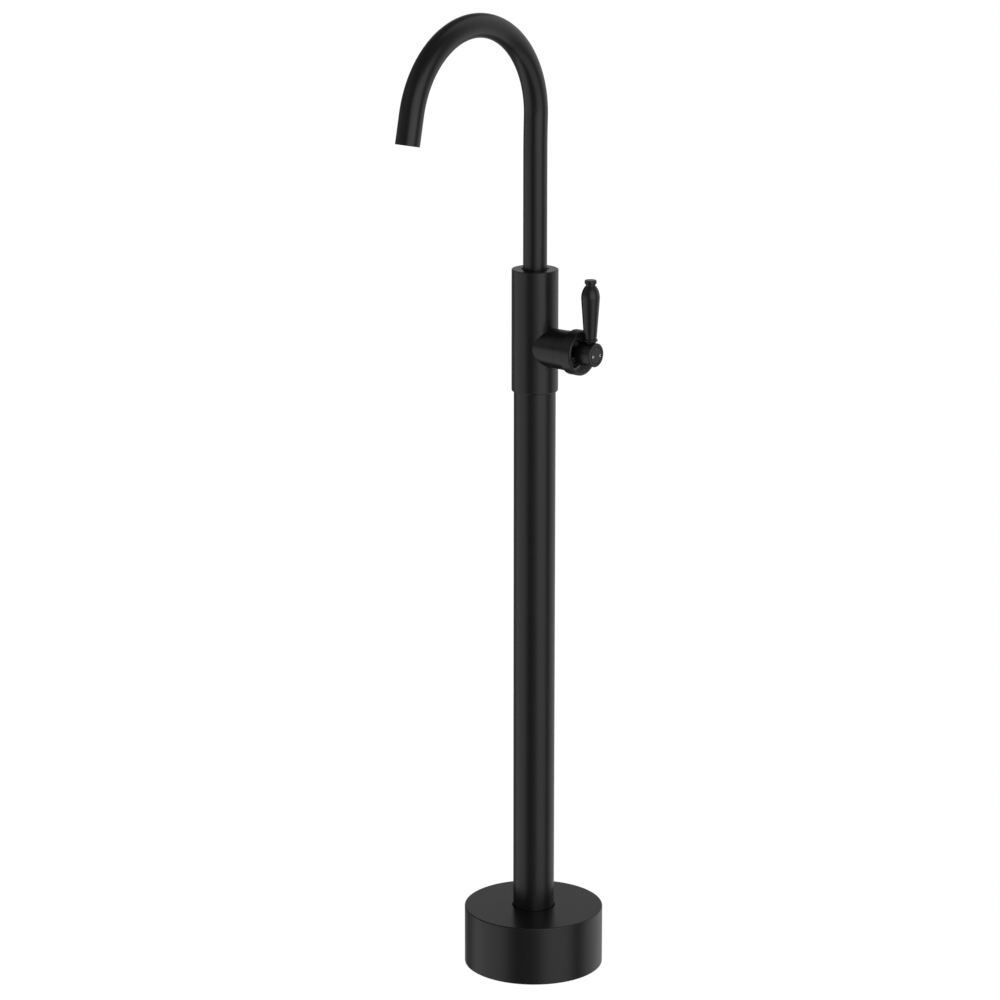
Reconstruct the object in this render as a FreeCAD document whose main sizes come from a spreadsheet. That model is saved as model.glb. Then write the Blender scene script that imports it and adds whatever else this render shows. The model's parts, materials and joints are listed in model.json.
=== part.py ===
"""Floor standing bath filler, in millimetres.

The origin is on the floor at the centre of the base. +Z is up, the spout reaches towards -Y, and the
valve with its lever is on the +X side. Pieces of the valve are drawn about the valve's own axis, with
their local X along it, and are placed at its height.
"""
import FreeCAD, Part
import math
import os
from types import SimpleNamespace

import Sketcher

Vector = FreeCAD.Vector
BELOW = 270  # the direction of -Z, in degrees from +Y towards +Z
doc = FreeCAD.newDocument("BathFiller")


# ---------------------------------------------------------------- driving dimensions

DIMENSIONS = {
    # clearances
    "push_fit": 0.05,
    "thread_fit": 0.05,
    "running_gap": 0.05,
    "slide_gap": 0.1,
    "disc_film": 0.02,
    # base cover: a hollow cup that hides the floor flange
    "cover_radius": 74.6,
    "cover_height": 63.5,
    "cover_wall": 2.0,
    "cover_edge_round": 1.2,
    "cover_column_gap": 1.0,
    "cover_neck_wall": 2.6,
    "cover_neck_drop": 7.0,
    "cover_seal_drop": 3.0,
    "cover_seal_thick": 2.6,
    # floor flange: bolt plate and collar that carry the column
    "bolt_circle_radius": 48.0,
    "bolt_hole_radius": 3.5,
    "bolt_head_radius": 7.0,
    "bolt_head_depth": 3.0,
    "bolt_count": 4,
    "flange_margin": 11.0,
    "flange_thick": 8.0,
    "flange_edge": 1.0,
    "collar_wall": 8.0,
    "collar_floor": 26.0,
    "collar_headroom": 6.5,
    "port_radius": 9.5,
    "port_depth": 12.0,
    "port_offset": 12.0,
    "lock_screw_radius": 3.0,
    "lock_screw_socket": 1.5,
    "lock_screw_count": 3,
    # column and supply pipes
    "column_radius": 22.03,
    "column_wall": 1.5,
    "pipe_radius": 6.0,
    "pipe_wall": 1.0,
    "pipe_offset": 10.0,
    "pipe_engagement": 20.0,
    "pipe_seal_thick": 1.8,
    # mixer body, set out from the valve's axis
    "valve_height": 683.7,
    "body_step": 2.4,
    "body_foot_drop": 48.7,
    "body_head_rise": 80.8,
    "body_edge": 0.8,
    "body_foot_round": 1.6,
    "column_socket_depth": 22.0,
    "spigot_depth": 14.0,
    "inlet_passage_radius": 3.8,
    "outlet_passage_radius": 4.5,
    "outlet_passage_offset": 7.0,
    "spout_socket_depth": 44.5,
    # side boss, its threaded neck and the chamber inside
    "boss_radius": 20.6,
    "boss_reach": 40.0,
    "neck_step": 2.6,
    "neck_length": 11.0,
    "chamber_depth": 25.5,
    "chamber_thread_step": 2.5,
    # bonnet that screws over the neck
    "bonnet_gap": 0.4,
    "bonnet_step": 0.2,
    "rim_lead": 1.0,
    "rim_step": 0.8,
    "rim_overhang": 2.9,
    "rim_width": 12.6,
    "rim_wall": 2.5,
    "rim_lip": 0.2,
    "seam_seal_thick": 1.2,
    # cartridge, set out from the chamber's floor
    "cartridge_radius": 12.5,
    "cartridge_length": 25.5,
    "cartridge_wall": 1.6,
    "base_thick": 6.0,
    "base_peg_radius": 1.4,
    "base_peg_length": 2.0,
    "base_peg_spread": 8.6,
    "base_peg_drop": 4.6,
    "snap_half_angle": 14.0,
    "snap_angle_gap": 0.6,
    "snap_height": 4.5,
    "snap_root": 1.0,
    "fixed_disc_thick": 3.0,
    "fixed_disc_sink": 2.5,
    "fixed_disc_margin": 0.7,
    "disc_key_radius": 1.3,
    "moving_disc_margin": 1.9,
    "moving_disc_thick": 3.0,
    "disc_rest_shift": 1.45,
    "port_circle_radius": 6.5,
    "port_angle": 30.0,
    "disc_port_radius": 2.7,
    "port_seal_radius": 3.9,
    "cavity_radius": 7.3,
    "cavity_depth": 1.6,
    "cavity_top": 0.25,
    "carrier_plate": 1.4,
    "carrier_height": 4.0,
    "carrier_half_width": 4.8,
    "carrier_half_height": 6.0,
    "carrier_lug_radius": 1.1,
    "carrier_lug_length": 1.5,
    "foot_radius": 2.6,
    "foot_floor_gap": 0.23,
    "foot_back_angle": 30.0,
    "foot_front_angle": 40.0,
    "foot_clearance": 0.15,
    "pivot_depth": 5.0,
    "turret_gap": 0.28,
    "turret_nose_radius": 8.0,
    "turret_nose_length": 2.2,
    "turret_slot_half_width": 3.3,
    "turret_slot_half_height": 6.3,
    "turret_lug_half_height": 3.0,
    "turret_lug_margin": 1.85,
    "turret_lug_root": 1.5,
    "turret_seal_thick": 1.5,
    "housing_flange_rise": 18.0,
    "housing_flange_margin": 0.45,
    "housing_flange_thick": 2.5,
    "stop_tab_radius": 9.8,
    "stop_tab_root": 1.2,
    "stop_tab_half_angle": 9.0,
    "stop_angle_gap": 1.0,
    "temperature_half_range": 50.0,
    "pin_radius": 1.5,
    "pin_fit": 0.03,
    "pin_end_margin": 1.35,
    "stem_radius": 3.0,
    "stem_flat": 2.6,
    "nut_head_gap": 0.2,
    "nut_hex_margin": 2.15,
    "nut_hex_thick": 2.4,
    # handle hub, set out from the cartridge's end
    "hub_lift": 5.5,
    "hub_boss_length": 6.0,
    "hub_boss_radius": 7.0,
    "hub_length": 18.5,
    "hub_radius": 12.5,
    "hub_edge": 1.0,
    "stem_insertion": 6.9,
    "hub_screw_setback": 3.5,
    "hub_screw_radius": 2.0,
    "hub_screw_socket": 1.0,
    "disc_plate_radius": 8.5,
    "disc_plate_thick": 1.5,
    "disc_plate_groove": 0.5,
    # lever, set out from the hub's surface upwards
    "lever_setback": 10.5,
    "lever_rod_radius": 2.5,
    "lever_rod_depth": 6.0,
    "lever_rod_overlap": 2.5,
    "collar_sink": 1.2,
    "collar_foot_radius": 4.6,
    "collar_seat_radius": 5.2,
    "collar_neck": 0.2,
    "collar_flare": 1.0,
    "collar_bead_radius": 7.85,
    "collar_bead_height": 2.6,
    "collar_waist": 1.5,
    "grip_base_radius": 6.75,
    "grip_length": 40.5,
    "grip_shoulder_radius": 9.63,
    "grip_crown_radius": 20.0,
    "grip_crown_height": 13.2,
    "grip_top_radius": 5.9,
    "finial_neck_radius": 4.9,
    "finial_neck_height": 2.0,
    "finial_flare": 0.9,
    "finial_radius": 6.2,
    "finial_height": 3.6,
    "finial_edge": 0.7,
    # spout, its riser measured from the body's top
    "spout_radius": 12.5,
    "spout_wall": 1.5,
    "spout_riser": 119.7,
    "spout_lean_radius": 1024.0,
    "spout_lean_angle": 2.19,
    "spout_bend_radius": 99.34,
    "spout_tip_angle": 12.26,
    "spout_tip_length": 30.5,
    "spout_socket_gap": 0.5,
    "thrust_washer_thick": 1.5,
    "thrust_washer_width": 3.0,
    "ferrule_fit": 0.07,
    "ferrule_height": 26.5,
    "ferrule_spigot": 12.0,
    "ferrule_wall": 2.5,
    "ferrule_seal_groove": 2.2,
    "ferrule_seal_depth": 1.73,
    "ferrule_seal_first": 5.0,
    "ferrule_seal_pitch": 7.0,
    "ferrule_seal_count": 2,
    "lock_groove_width": 4.0,
    "lock_groove_depth": 1.93,
    "lock_groove_drop": 3.2,
    "lock_point_radius": 1.6,
    "lock_point_gap": 0.35,
    "lock_body_radius": 2.5,
    "bush_wall": 1.9,
    "bush_height": 8.5,
    "bush_sink": 0.7,
    # outlet
    "aerator_length": 9.0,
    "aerator_wall": 1.4,
    "aerator_lip": 1.2,
    "aerator_sink": 1.0,
    "grid_thick": 4.0,
    "grid_hole_radius": 1.1,
    "grid_inner_circle": 3.3,
    "grid_inner_count": 6,
    "grid_outer_circle": 6.4,
    "grid_outer_count": 12,
    "aerator_washer_thick": 1.5,
}

SHEET_NAME = "Sizes"


class Size:
    """One length or angle: its number, and its expression on the sheet."""

    def __init__(self, value, text):
        self.value = value
        self.text = text

    def __add__(self, other):
        other = as_size(other)
        return Size(self.value + other.value, f"({self.text} + {other.text})")

    def __radd__(self, other):
        return as_size(other) + self

    def __sub__(self, other):
        other = as_size(other)
        return Size(self.value - other.value, f"({self.text} - {other.text})")

    def __rsub__(self, other):
        return as_size(other) - self

    def __mul__(self, other):
        other = as_size(other)
        return Size(self.value * other.value, f"({self.text} * {other.text})")

    def __rmul__(self, other):
        return as_size(other) * self

    def __truediv__(self, other):
        other = as_size(other)
        return Size(self.value / other.value, f"({self.text} / {other.text})")

    def __neg__(self):
        return Size(-self.value, f"(-{self.text})")


def as_size(number):
    if isinstance(number, Size):
        return number
    return Size(float(number), f"({float(number)!r})")


def sine(angle):
    angle = as_size(angle)
    return Size(math.sin(math.radians(angle.value)), f"sin({angle.text})")


def cosine(angle):
    angle = as_size(angle)
    return Size(math.cos(math.radians(angle.value)), f"cos({angle.text})")


def make_sheet():
    sheet = doc.addObject("Spreadsheet::Sheet", SHEET_NAME)
    for row, (name, value) in enumerate(DIMENSIONS.items(), start=1):
        sheet.set(f"A{row}", name)
        sheet.set(f"B{row}", str(value))
        sheet.setAlias(f"B{row}", name)
    doc.recompute()
    return SimpleNamespace(**{name: Size(value, f"{SHEET_NAME}.{name}")
                              for name, value in DIMENSIONS.items()})


d = make_sheet()

# ---------------------------------------------------------------- sizes that follow

# base and column
flange_radius = d.bolt_circle_radius + d.flange_margin
column_socket_radius = d.column_radius + d.push_fit
collar_radius = column_socket_radius + d.collar_wall
collar_top = d.cover_height - d.cover_neck_drop - d.collar_headroom
lock_screw_height = (d.collar_floor + collar_top) / 2
column_bore = d.column_radius - d.column_wall

# mixer body
body_radius = d.column_radius + d.body_step
body_bottom = d.valve_height - d.body_foot_drop
body_top = d.valve_height + d.body_head_rise
column_top = body_bottom + d.column_socket_depth
spigot_bottom = column_top - d.spigot_depth
pipe_socket_radius = d.pipe_radius + d.push_fit
pipe_top = spigot_bottom + d.pipe_engagement
pipe_seal_seat = d.pipe_radius + d.pipe_seal_thick + d.push_fit
spout_seat = body_top - d.spout_socket_depth
spout_socket_radius = d.spout_radius + d.spout_socket_gap
bush_radius = d.spout_radius + d.bush_wall
bush_seat = body_top - d.bush_sink - d.bush_height

# side boss, chamber and bonnet, along the valve's axis
neck_radius = d.boss_radius - d.neck_step
neck_reach = d.boss_reach + d.neck_length
chamber_seat = neck_reach - d.chamber_depth
chamber_radius = d.cartridge_radius + d.push_fit
chamber_thread_radius = chamber_radius + d.chamber_thread_step
bonnet_radius = d.boss_radius + d.bonnet_step
rim_radius = bonnet_radius + d.rim_overhang
rim_start = neck_reach + d.rim_lead
bonnet_end = rim_start + d.rim_width

# cartridge, along the valve's axis
cartridge_end = chamber_seat + d.cartridge_length
housing_start = chamber_seat + d.base_thick
housing_bore = d.cartridge_radius - d.cartridge_wall
nut_start = chamber_seat + d.housing_flange_rise
nut_head_start = neck_reach + d.nut_head_gap
chamber_shoulder = nut_start - d.housing_flange_thick
fixed_disc_radius = housing_bore - d.fixed_disc_margin
fixed_disc_recess = fixed_disc_radius + d.push_fit
fixed_disc_start = housing_start - d.fixed_disc_sink
moving_disc_radius = housing_bore - d.moving_disc_margin
moving_disc_start = fixed_disc_start + d.fixed_disc_thick + d.disc_film
carrier_start = moving_disc_start + d.moving_disc_thick
turret_radius = housing_bore - d.running_gap
turret_start = carrier_start + d.carrier_height + d.turret_gap
turret_nose_start = cartridge_end - d.turret_nose_length
pivot_reach = cartridge_end - d.pivot_depth
turret_seal_middle = (turret_start + pivot_reach - d.pin_radius) / 2
foot_reach = carrier_start + d.foot_floor_gap + d.foot_radius * cosine(d.foot_back_angle)
inlet_port_y = d.port_circle_radius * cosine(d.port_angle)
inlet_port_z = d.port_circle_radius * sine(d.port_angle)

# handle, along the valve's axis, and lever, above it
hub_boss_start = cartridge_end + d.hub_lift
hub_start = hub_boss_start + d.hub_boss_length
hub_end = hub_start + d.hub_length
stem_end = hub_start + d.stem_insertion
hub_screw_reach = hub_start + d.hub_screw_setback
lever_reach = hub_start + d.lever_setback
lever_rod_bore = d.lever_rod_radius + d.push_fit
collar_foot = d.hub_radius - d.collar_sink
collar_neck_top = d.hub_radius + d.collar_neck
collar_low = collar_neck_top + d.collar_flare
collar_bead_top = collar_low + d.collar_bead_height
grip_base = collar_bead_top + d.collar_waist
grip_shoulder = grip_base + d.grip_length
grip_top = grip_shoulder + d.grip_crown_height
lever_rod_top = grip_top + d.lever_rod_overlap
finial_neck_top = grip_top + d.finial_neck_height
finial_low = finial_neck_top + d.finial_flare
finial_top = finial_low + d.finial_height

# spout
spout_rise = body_top + d.spout_riser
spout_bore = d.spout_radius - d.spout_wall
ferrule_radius = spout_socket_radius - d.ferrule_fit
ferrule_bottom = spout_seat + d.thrust_washer_thick + d.disc_film
ferrule_shoulder = ferrule_bottom + d.ferrule_height
ferrule_bore = spout_bore - d.ferrule_wall
ferrule_seal_radius = ferrule_radius - d.ferrule_seal_depth
lock_groove_radius = ferrule_radius - d.lock_groove_depth
lock_height = ferrule_shoulder - d.lock_groove_drop


# ---------------------------------------------------------------- drawing helpers

def bind(item, prop, size):
    """Tie a property of a document object to the sheet."""
    item.setExpression(prop, as_size(size).text)


def new_body(label, valve_frame=False):
    body = doc.addObject("PartDesign::Body", label)
    body.Label = label
    if valve_frame:
        bind(body, "Placement.Base.z", d.valve_height)
    return body


def origin_feature(body, role):
    return next(feature for feature in body.Origin.OriginFeatures if feature.Role == role)


def new_sketch(body, plane, offset=0):
    """A sketch on one of the body's own origin planes, moved along the plane's normal."""
    sketch = body.newObject("Sketcher::SketchObject", body.Label + "_sketch")
    sketch.AttachmentSupport = [(origin_feature(body, plane), "")]
    sketch.MapMode = "FlatFace"
    bind(sketch, "AttachmentOffset.Base.z", offset)
    return sketch


def pin_point(sketch, geometry, position, x, y):
    """Fix a sketch point at x, y from the sketch's origin."""
    for kind, size in (("DistanceX", as_size(x)), ("DistanceY", as_size(y))):
        index = sketch.addConstraint(Sketcher.Constraint(kind, -1, 1, geometry, position, size.value))
        sketch.setExpression(f"Constraints[{index}]", size.text)


def pin_radius(sketch, geometry, radius):
    radius = as_size(radius)
    index = sketch.addConstraint(Sketcher.Constraint("Radius", geometry, radius.value))
    sketch.setExpression(f"Constraints[{index}]", radius.text)


def arc_between(start, end, radius):
    """The short arc from start to end; a positive radius turns left on the way."""
    chord = end - start
    half = chord.Length / 2
    rise = math.sqrt(max(radius * radius - half * half, 0.0))
    left = Vector(-chord.y, chord.x, 0).normalize()
    side = 1 if radius > 0 else -1
    centre = (start + end) / 2 + left * (rise * side)
    first, last = (start, end) if radius > 0 else (end, start)
    low = math.atan2(first.y - centre.y, first.x - centre.x)
    high = math.atan2(last.y - centre.y, last.x - centre.x)
    return Part.ArcOfCircle(Part.Circle(centre, Vector(0, 0, 1), abs(radius)), low, high)


def draw_profile(sketch, points):
    """A closed outline. A point is (x, y), or (x, y, radius) when an arc leads to it."""
    count = len(points)
    corners = [Vector(as_size(point[0]).value, as_size(point[1]).value, 0) for point in points]
    ends = []
    first_geometry = sketch.GeometryCount
    for index, point in enumerate(points):
        start, end = corners[index - 1], corners[index]
        if len(point) == 2:
            sketch.addGeometry(Part.LineSegment(start, end))
            ends.append((1, 2))
            continue
        radius = as_size(point[2])
        sketch.addGeometry(arc_between(start, end, radius.value))
        ends.append((1, 2) if radius.value > 0 else (2, 1))
    for index, point in enumerate(points):
        following = (index + 1) % count
        here, there = first_geometry + index, first_geometry + following
        sketch.addConstraint(Sketcher.Constraint("Coincident", here, ends[index][1],
                                                 there, ends[following][0]))
        pin_point(sketch, here, ends[index][1], point[0], point[1])
        if len(point) == 3:
            radius = as_size(point[2])
            pin_radius(sketch, here, radius if radius.value > 0 else -radius)


def draw_circle(sketch, x, y, radius):
    radius = as_size(radius)
    centre = Vector(as_size(x).value, as_size(y).value, 0)
    geometry = sketch.addGeometry(Part.Circle(centre, Vector(0, 0, 1), radius.value))
    pin_point(sketch, geometry, 3, x, y)
    pin_radius(sketch, geometry, radius)


def draw_box(sketch, left, right, low, high):
    draw_profile(sketch, [(left, low), (right, low), (right, high), (left, high)])


def draw_hexagon(sketch, circumradius):
    draw_profile(sketch, [(circumradius * cosine(60 * side), circumradius * sine(60 * side))
                          for side in range(6)])


def draw_sector(sketch, inner, outer, half_angle, middle):
    """A ring sector about the valve's axis; its inner side is straight. Angles run from +Y to +Z."""
    first, last = as_size(middle) - half_angle, as_size(middle) + half_angle
    draw_profile(sketch, [
        (inner * cosine(first), inner * sine(first)),
        (outer * cosine(first), outer * sine(first)),
        (outer * cosine(last), outer * sine(last), outer),
        (inner * cosine(last), inner * sine(last)),
    ])


def revolve(body, points, axis="V_Axis", plane="XZ_Plane"):
    """A turned solid: the outline is (radius, height) about Z, or (reach, radius) about X."""
    sketch = new_sketch(body, plane)
    draw_profile(sketch, points)
    feature = body.newObject("PartDesign::Revolution", body.Label + "_turned")
    feature.Profile = sketch
    feature.ReferenceAxis = (sketch, [axis])
    feature.Angle = 360
    doc.recompute()
    return feature


def pad(body, plane, offset, length, draw):
    """A prism that grows along the plane's normal."""
    sketch = new_sketch(body, plane, offset)
    draw(sketch)
    feature = body.newObject("PartDesign::Pad", body.Label + "_pad")
    feature.Profile = sketch
    bind(feature, "Length", length)
    doc.recompute()
    return feature


def pocket(body, plane, offset, depth, draw, along_normal=False):
    """A straight cut from the plane, against its normal unless along_normal is set."""
    before = body.Shape.Volume
    sketch = new_sketch(body, plane, offset)
    draw(sketch)
    feature = body.newObject("PartDesign::Pocket", body.Label + "_pocket")
    feature.Profile = sketch
    bind(feature, "Length", depth)
    feature.Reversed = along_normal
    doc.recompute()
    check_cut(body, before)
    return feature


def check_cut(body, before):
    if body.Shape.Volume > before - 1e-3:
        raise RuntimeError(f"a cut in {body.Label} removes nothing")


def polar(body, feature, axis_role, count):
    """Repeat a feature evenly about one of the body's axes."""
    pattern = body.newObject("PartDesign::PolarPattern", body.Label + "_ring")
    pattern.Originals = [feature]
    pattern.Axis = (origin_feature(body, axis_role), [""])
    pattern.Angle = 360
    bind(pattern, "Occurrences", count)
    body.Tip = pattern
    doc.recompute()
    return pattern


def tube(label, plane, offset, length, outer, inner, x=0, y=0, valve_frame=False):
    body = new_body(label, valve_frame)

    def ring(sketch):
        draw_circle(sketch, x, y, outer)
        draw_circle(sketch, x, y, inner)

    pad(body, plane, offset, length, ring)
    return body


def torus(label, inner, section, x=0, y=0, z=0):
    """An O-ring about a vertical axis, by its inner radius and its section's diameter."""
    ring = doc.addObject("Part::Torus", label)
    ring.Label = label
    bind(ring, "Radius1", as_size(inner) + section / 2)
    bind(ring, "Radius2", section / 2)
    for axis, size in (("x", x), ("y", y), ("z", z)):
        bind(ring, f"Placement.Base.{axis}", size)
    return ring


def group(label, members):
    """Identical pieces that share one node, each still a solid of its own."""
    compound = doc.addObject("Part::Compound", label)
    compound.Label = label
    compound.Links = members
    return compound


def cylinder(label, radius, height):
    item = doc.addObject("Part::Cylinder", label)
    bind(item, "Radius", radius)
    bind(item, "Height", height)
    return item


def hex_prism(label, circumradius, height):
    item = doc.addObject("Part::Prism", label)
    item.Polygon = 6
    bind(item, "Circumradius", circumradius)
    bind(item, "Height", height)
    return item


def cut(label, base, tool):
    item = doc.addObject("Part::Cut", label)
    item.Label = label
    item.Base = base
    item.Tool = tool
    return item


def grub_screw(label, radius, length, socket):
    """A socket screw along local Z: its tip at 0, its hexagon socket at the far end."""
    shank = cylinder(label + "_shank", radius, length)
    key = hex_prism(label + "_key", socket, length / 2)
    bind(key, "Placement.Base.z", length / 2)
    return cut(label, shank, key)


def place(item, x=0, y=0, z=0):
    for axis, size in (("x", x), ("y", y), ("z", z)):
        bind(item, f"Placement.Base.{axis}", size)


# ---------------------------------------------------------------- base

def make_floor_flange():
    body = new_body("floor_flange")
    edge = d.flange_edge
    revolve(body, [
        (0, 0),
        (flange_radius, 0),
        (flange_radius, d.flange_thick - edge),
        (flange_radius - edge, d.flange_thick),
        (collar_radius, d.flange_thick),
        (collar_radius, collar_top - edge),
        (collar_radius - edge, collar_top),
        (column_socket_radius, collar_top),
        (column_socket_radius, d.collar_floor),
        (0, d.collar_floor),
    ])

    def both_sides(offset, radius):
        def draw(sketch):
            draw_circle(sketch, 0, -offset, radius)
            draw_circle(sketch, 0, offset, radius)
        return draw

    pocket(body, "XY_Plane", 0, d.port_depth, both_sides(d.port_offset, d.port_radius), along_normal=True)
    pocket(body, "XY_Plane", d.collar_floor, d.collar_floor - d.port_depth,
           both_sides(d.pipe_offset, pipe_socket_radius))
    pocket(body, "XY_Plane", d.collar_floor, d.pipe_seal_thick, both_sides(d.pipe_offset, pipe_seal_seat))

    bolt = pocket(body, "XY_Plane", d.flange_thick, d.flange_thick,
                  lambda sketch: draw_circle(sketch, d.bolt_circle_radius, 0, d.bolt_hole_radius))
    polar(body, bolt, "Z_Axis", d.bolt_count)
    head = pocket(body, "XY_Plane", d.flange_thick, d.bolt_head_depth,
                  lambda sketch: draw_circle(sketch, d.bolt_circle_radius, 0, d.bolt_head_radius))
    polar(body, head, "Z_Axis", d.bolt_count)
    grub = pocket(body, "YZ_Plane", 0, collar_radius + edge,
                  lambda sketch: draw_circle(sketch, 0, lock_screw_height, d.lock_screw_radius),
                  along_normal=True)
    polar(body, grub, "Z_Axis", d.lock_screw_count)
    return body


def make_column_lock_screws():
    screws = []
    for index in range(DIMENSIONS["lock_screw_count"]):
        screw = grub_screw(f"column_lock_screw_{index + 1}", d.lock_screw_radius - d.thread_fit,
                           d.collar_wall + d.push_fit, d.lock_screw_socket)
        angle = 360 / DIMENSIONS["lock_screw_count"] * index
        screw.Placement.Rotation = FreeCAD.Rotation(angle, 90, 0)
        place(screw, d.column_radius * cosine(angle), d.column_radius * sine(angle), lock_screw_height)
        screws.append(screw)
    return group("column_lock_screws", screws)


def make_base_cover():
    body = new_body("base_cover")
    hole = d.column_radius + d.cover_column_gap
    seal_seat = d.column_radius + d.running_gap + d.cover_seal_thick + d.running_gap
    neck = seal_seat + d.cover_neck_wall
    inside = d.cover_radius - d.cover_wall
    under = d.cover_height - d.cover_wall
    neck_bottom = d.cover_height - d.cover_neck_drop
    seal_top = d.cover_height - d.cover_seal_drop
    seal_bottom = seal_top - d.cover_seal_thick - d.running_gap
    revolve(body, [
        (d.cover_radius, 0),
        (d.cover_radius, d.cover_height - d.cover_edge_round),
        (d.cover_radius - d.cover_edge_round, d.cover_height, d.cover_edge_round),
        (hole, d.cover_height),
        (hole, seal_top),
        (seal_seat, seal_top),
        (seal_seat, seal_bottom),
        (hole, seal_bottom),
        (hole, neck_bottom),
        (neck, neck_bottom),
        (neck, under),
        (inside, under),
        (inside, 0),
    ])
    return body


def make_cover_seal():
    middle = d.cover_height - d.cover_seal_drop - d.cover_seal_thick / 2 - d.running_gap / 2
    return torus("cover_seal", d.column_radius + d.running_gap, d.cover_seal_thick, z=middle)


# ---------------------------------------------------------------- column and supply pipes

def make_column_tube():
    return tube("column_tube", "XY_Plane", d.collar_floor, column_top - d.collar_floor,
                d.column_radius, column_bore)


def make_supply_pipes():
    for name, side in (("hot", -1), ("cold", 1)):
        tube(f"supply_pipe_{name}", "XY_Plane", d.port_depth, pipe_top - d.port_depth,
             d.pipe_radius, d.pipe_radius - d.pipe_wall, y=side * d.pipe_offset)
    base_height = d.collar_floor - d.pipe_seal_thick / 2
    head_height = spigot_bottom + d.pipe_seal_thick / 2
    for name, height in (("base", base_height), ("head", head_height)):
        rings = [torus(f"pipe_{name}_seal_{index}", d.pipe_radius, d.pipe_seal_thick,
                       y=side * d.pipe_offset, z=height)
                 for index, side in ((1, -1), (2, 1))]
        group(f"pipe_{name}_seals", rings)


# ---------------------------------------------------------------- mixer body

def make_mixer_body():
    body = new_body("mixer_body")
    spigot_radius = column_bore - d.push_fit
    bush_socket = bush_radius + d.push_fit
    revolve(body, [
        (0, spigot_bottom),
        (spigot_radius, spigot_bottom),
        (spigot_radius, column_top),
        (column_socket_radius, column_top),
        (column_socket_radius, body_bottom),
        (body_radius - d.body_foot_round, body_bottom),
        (body_radius, body_bottom + d.body_foot_round, d.body_foot_round),
        (body_radius, body_top - d.body_edge),
        (body_radius - d.body_edge, body_top, d.body_edge),
        (bush_socket, body_top),
        (bush_socket, bush_seat),
        (spout_socket_radius, bush_seat),
        (spout_socket_radius, spout_seat),
        (0, spout_seat),
    ])
    for reach, radius in ((d.boss_reach, d.boss_radius), (neck_reach, neck_radius)):
        pad(body, "YZ_Plane", 0, reach, lambda sketch: draw_circle(sketch, 0, d.valve_height, radius))

    # cartridge chamber: bore for the cartridge, wider thread for its nut
    pocket(body, "YZ_Plane", neck_reach, neck_reach - chamber_seat,
           lambda sketch: draw_circle(sketch, 0, d.valve_height, chamber_radius))
    pocket(body, "YZ_Plane", neck_reach, neck_reach - chamber_shoulder,
           lambda sketch: draw_circle(sketch, 0, d.valve_height, chamber_thread_radius))

    # blind holes for the cartridge's two locating pegs
    pocket(body, "YZ_Plane", chamber_seat, d.base_peg_length + d.slide_gap,
           lambda sketch: draw_pegs(sketch, d.valve_height, d.base_peg_radius + d.push_fit))

    # water passages: two inlets rise from the pipes, the mixed outlet rises to the spout
    def inlet_ports(sketch):
        draw_circle(sketch, -inlet_port_y, d.valve_height + inlet_port_z, d.disc_port_radius)
        draw_circle(sketch, inlet_port_y, d.valve_height + inlet_port_z, d.disc_port_radius)

    def pipe_circles(radius):
        def draw(sketch):
            draw_circle(sketch, 0, -d.pipe_offset, radius)
            draw_circle(sketch, 0, d.pipe_offset, radius)
        return draw

    pocket(body, "YZ_Plane", chamber_seat, chamber_seat, inlet_ports)
    pocket(body, "YZ_Plane", chamber_seat, chamber_seat + d.outlet_passage_offset,
           lambda sketch: draw_circle(sketch, 0, d.valve_height - d.port_circle_radius, d.disc_port_radius))
    passage_top = d.valve_height + inlet_port_z + d.disc_port_radius
    pocket(body, "XY_Plane", spigot_bottom, d.pipe_engagement, pipe_circles(pipe_socket_radius),
           along_normal=True)
    pocket(body, "XY_Plane", spigot_bottom, passage_top - spigot_bottom,
           pipe_circles(d.inlet_passage_radius), along_normal=True)
    pocket(body, "XY_Plane", spigot_bottom, d.pipe_seal_thick, pipe_circles(pipe_seal_seat),
           along_normal=True)
    outlet_bottom = d.valve_height - d.port_circle_radius - d.disc_port_radius
    pocket(body, "XY_Plane", spout_seat, spout_seat - outlet_bottom,
           lambda sketch: draw_circle(sketch, -d.outlet_passage_offset, 0, d.outlet_passage_radius))

    # tapped hole at the back for the screw that keeps the spout in
    pocket(body, "XZ_Plane", 0, body_radius,
           lambda sketch: draw_circle(sketch, 0, lock_height, d.lock_body_radius))
    return body


# ---------------------------------------------------------------- spout

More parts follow.
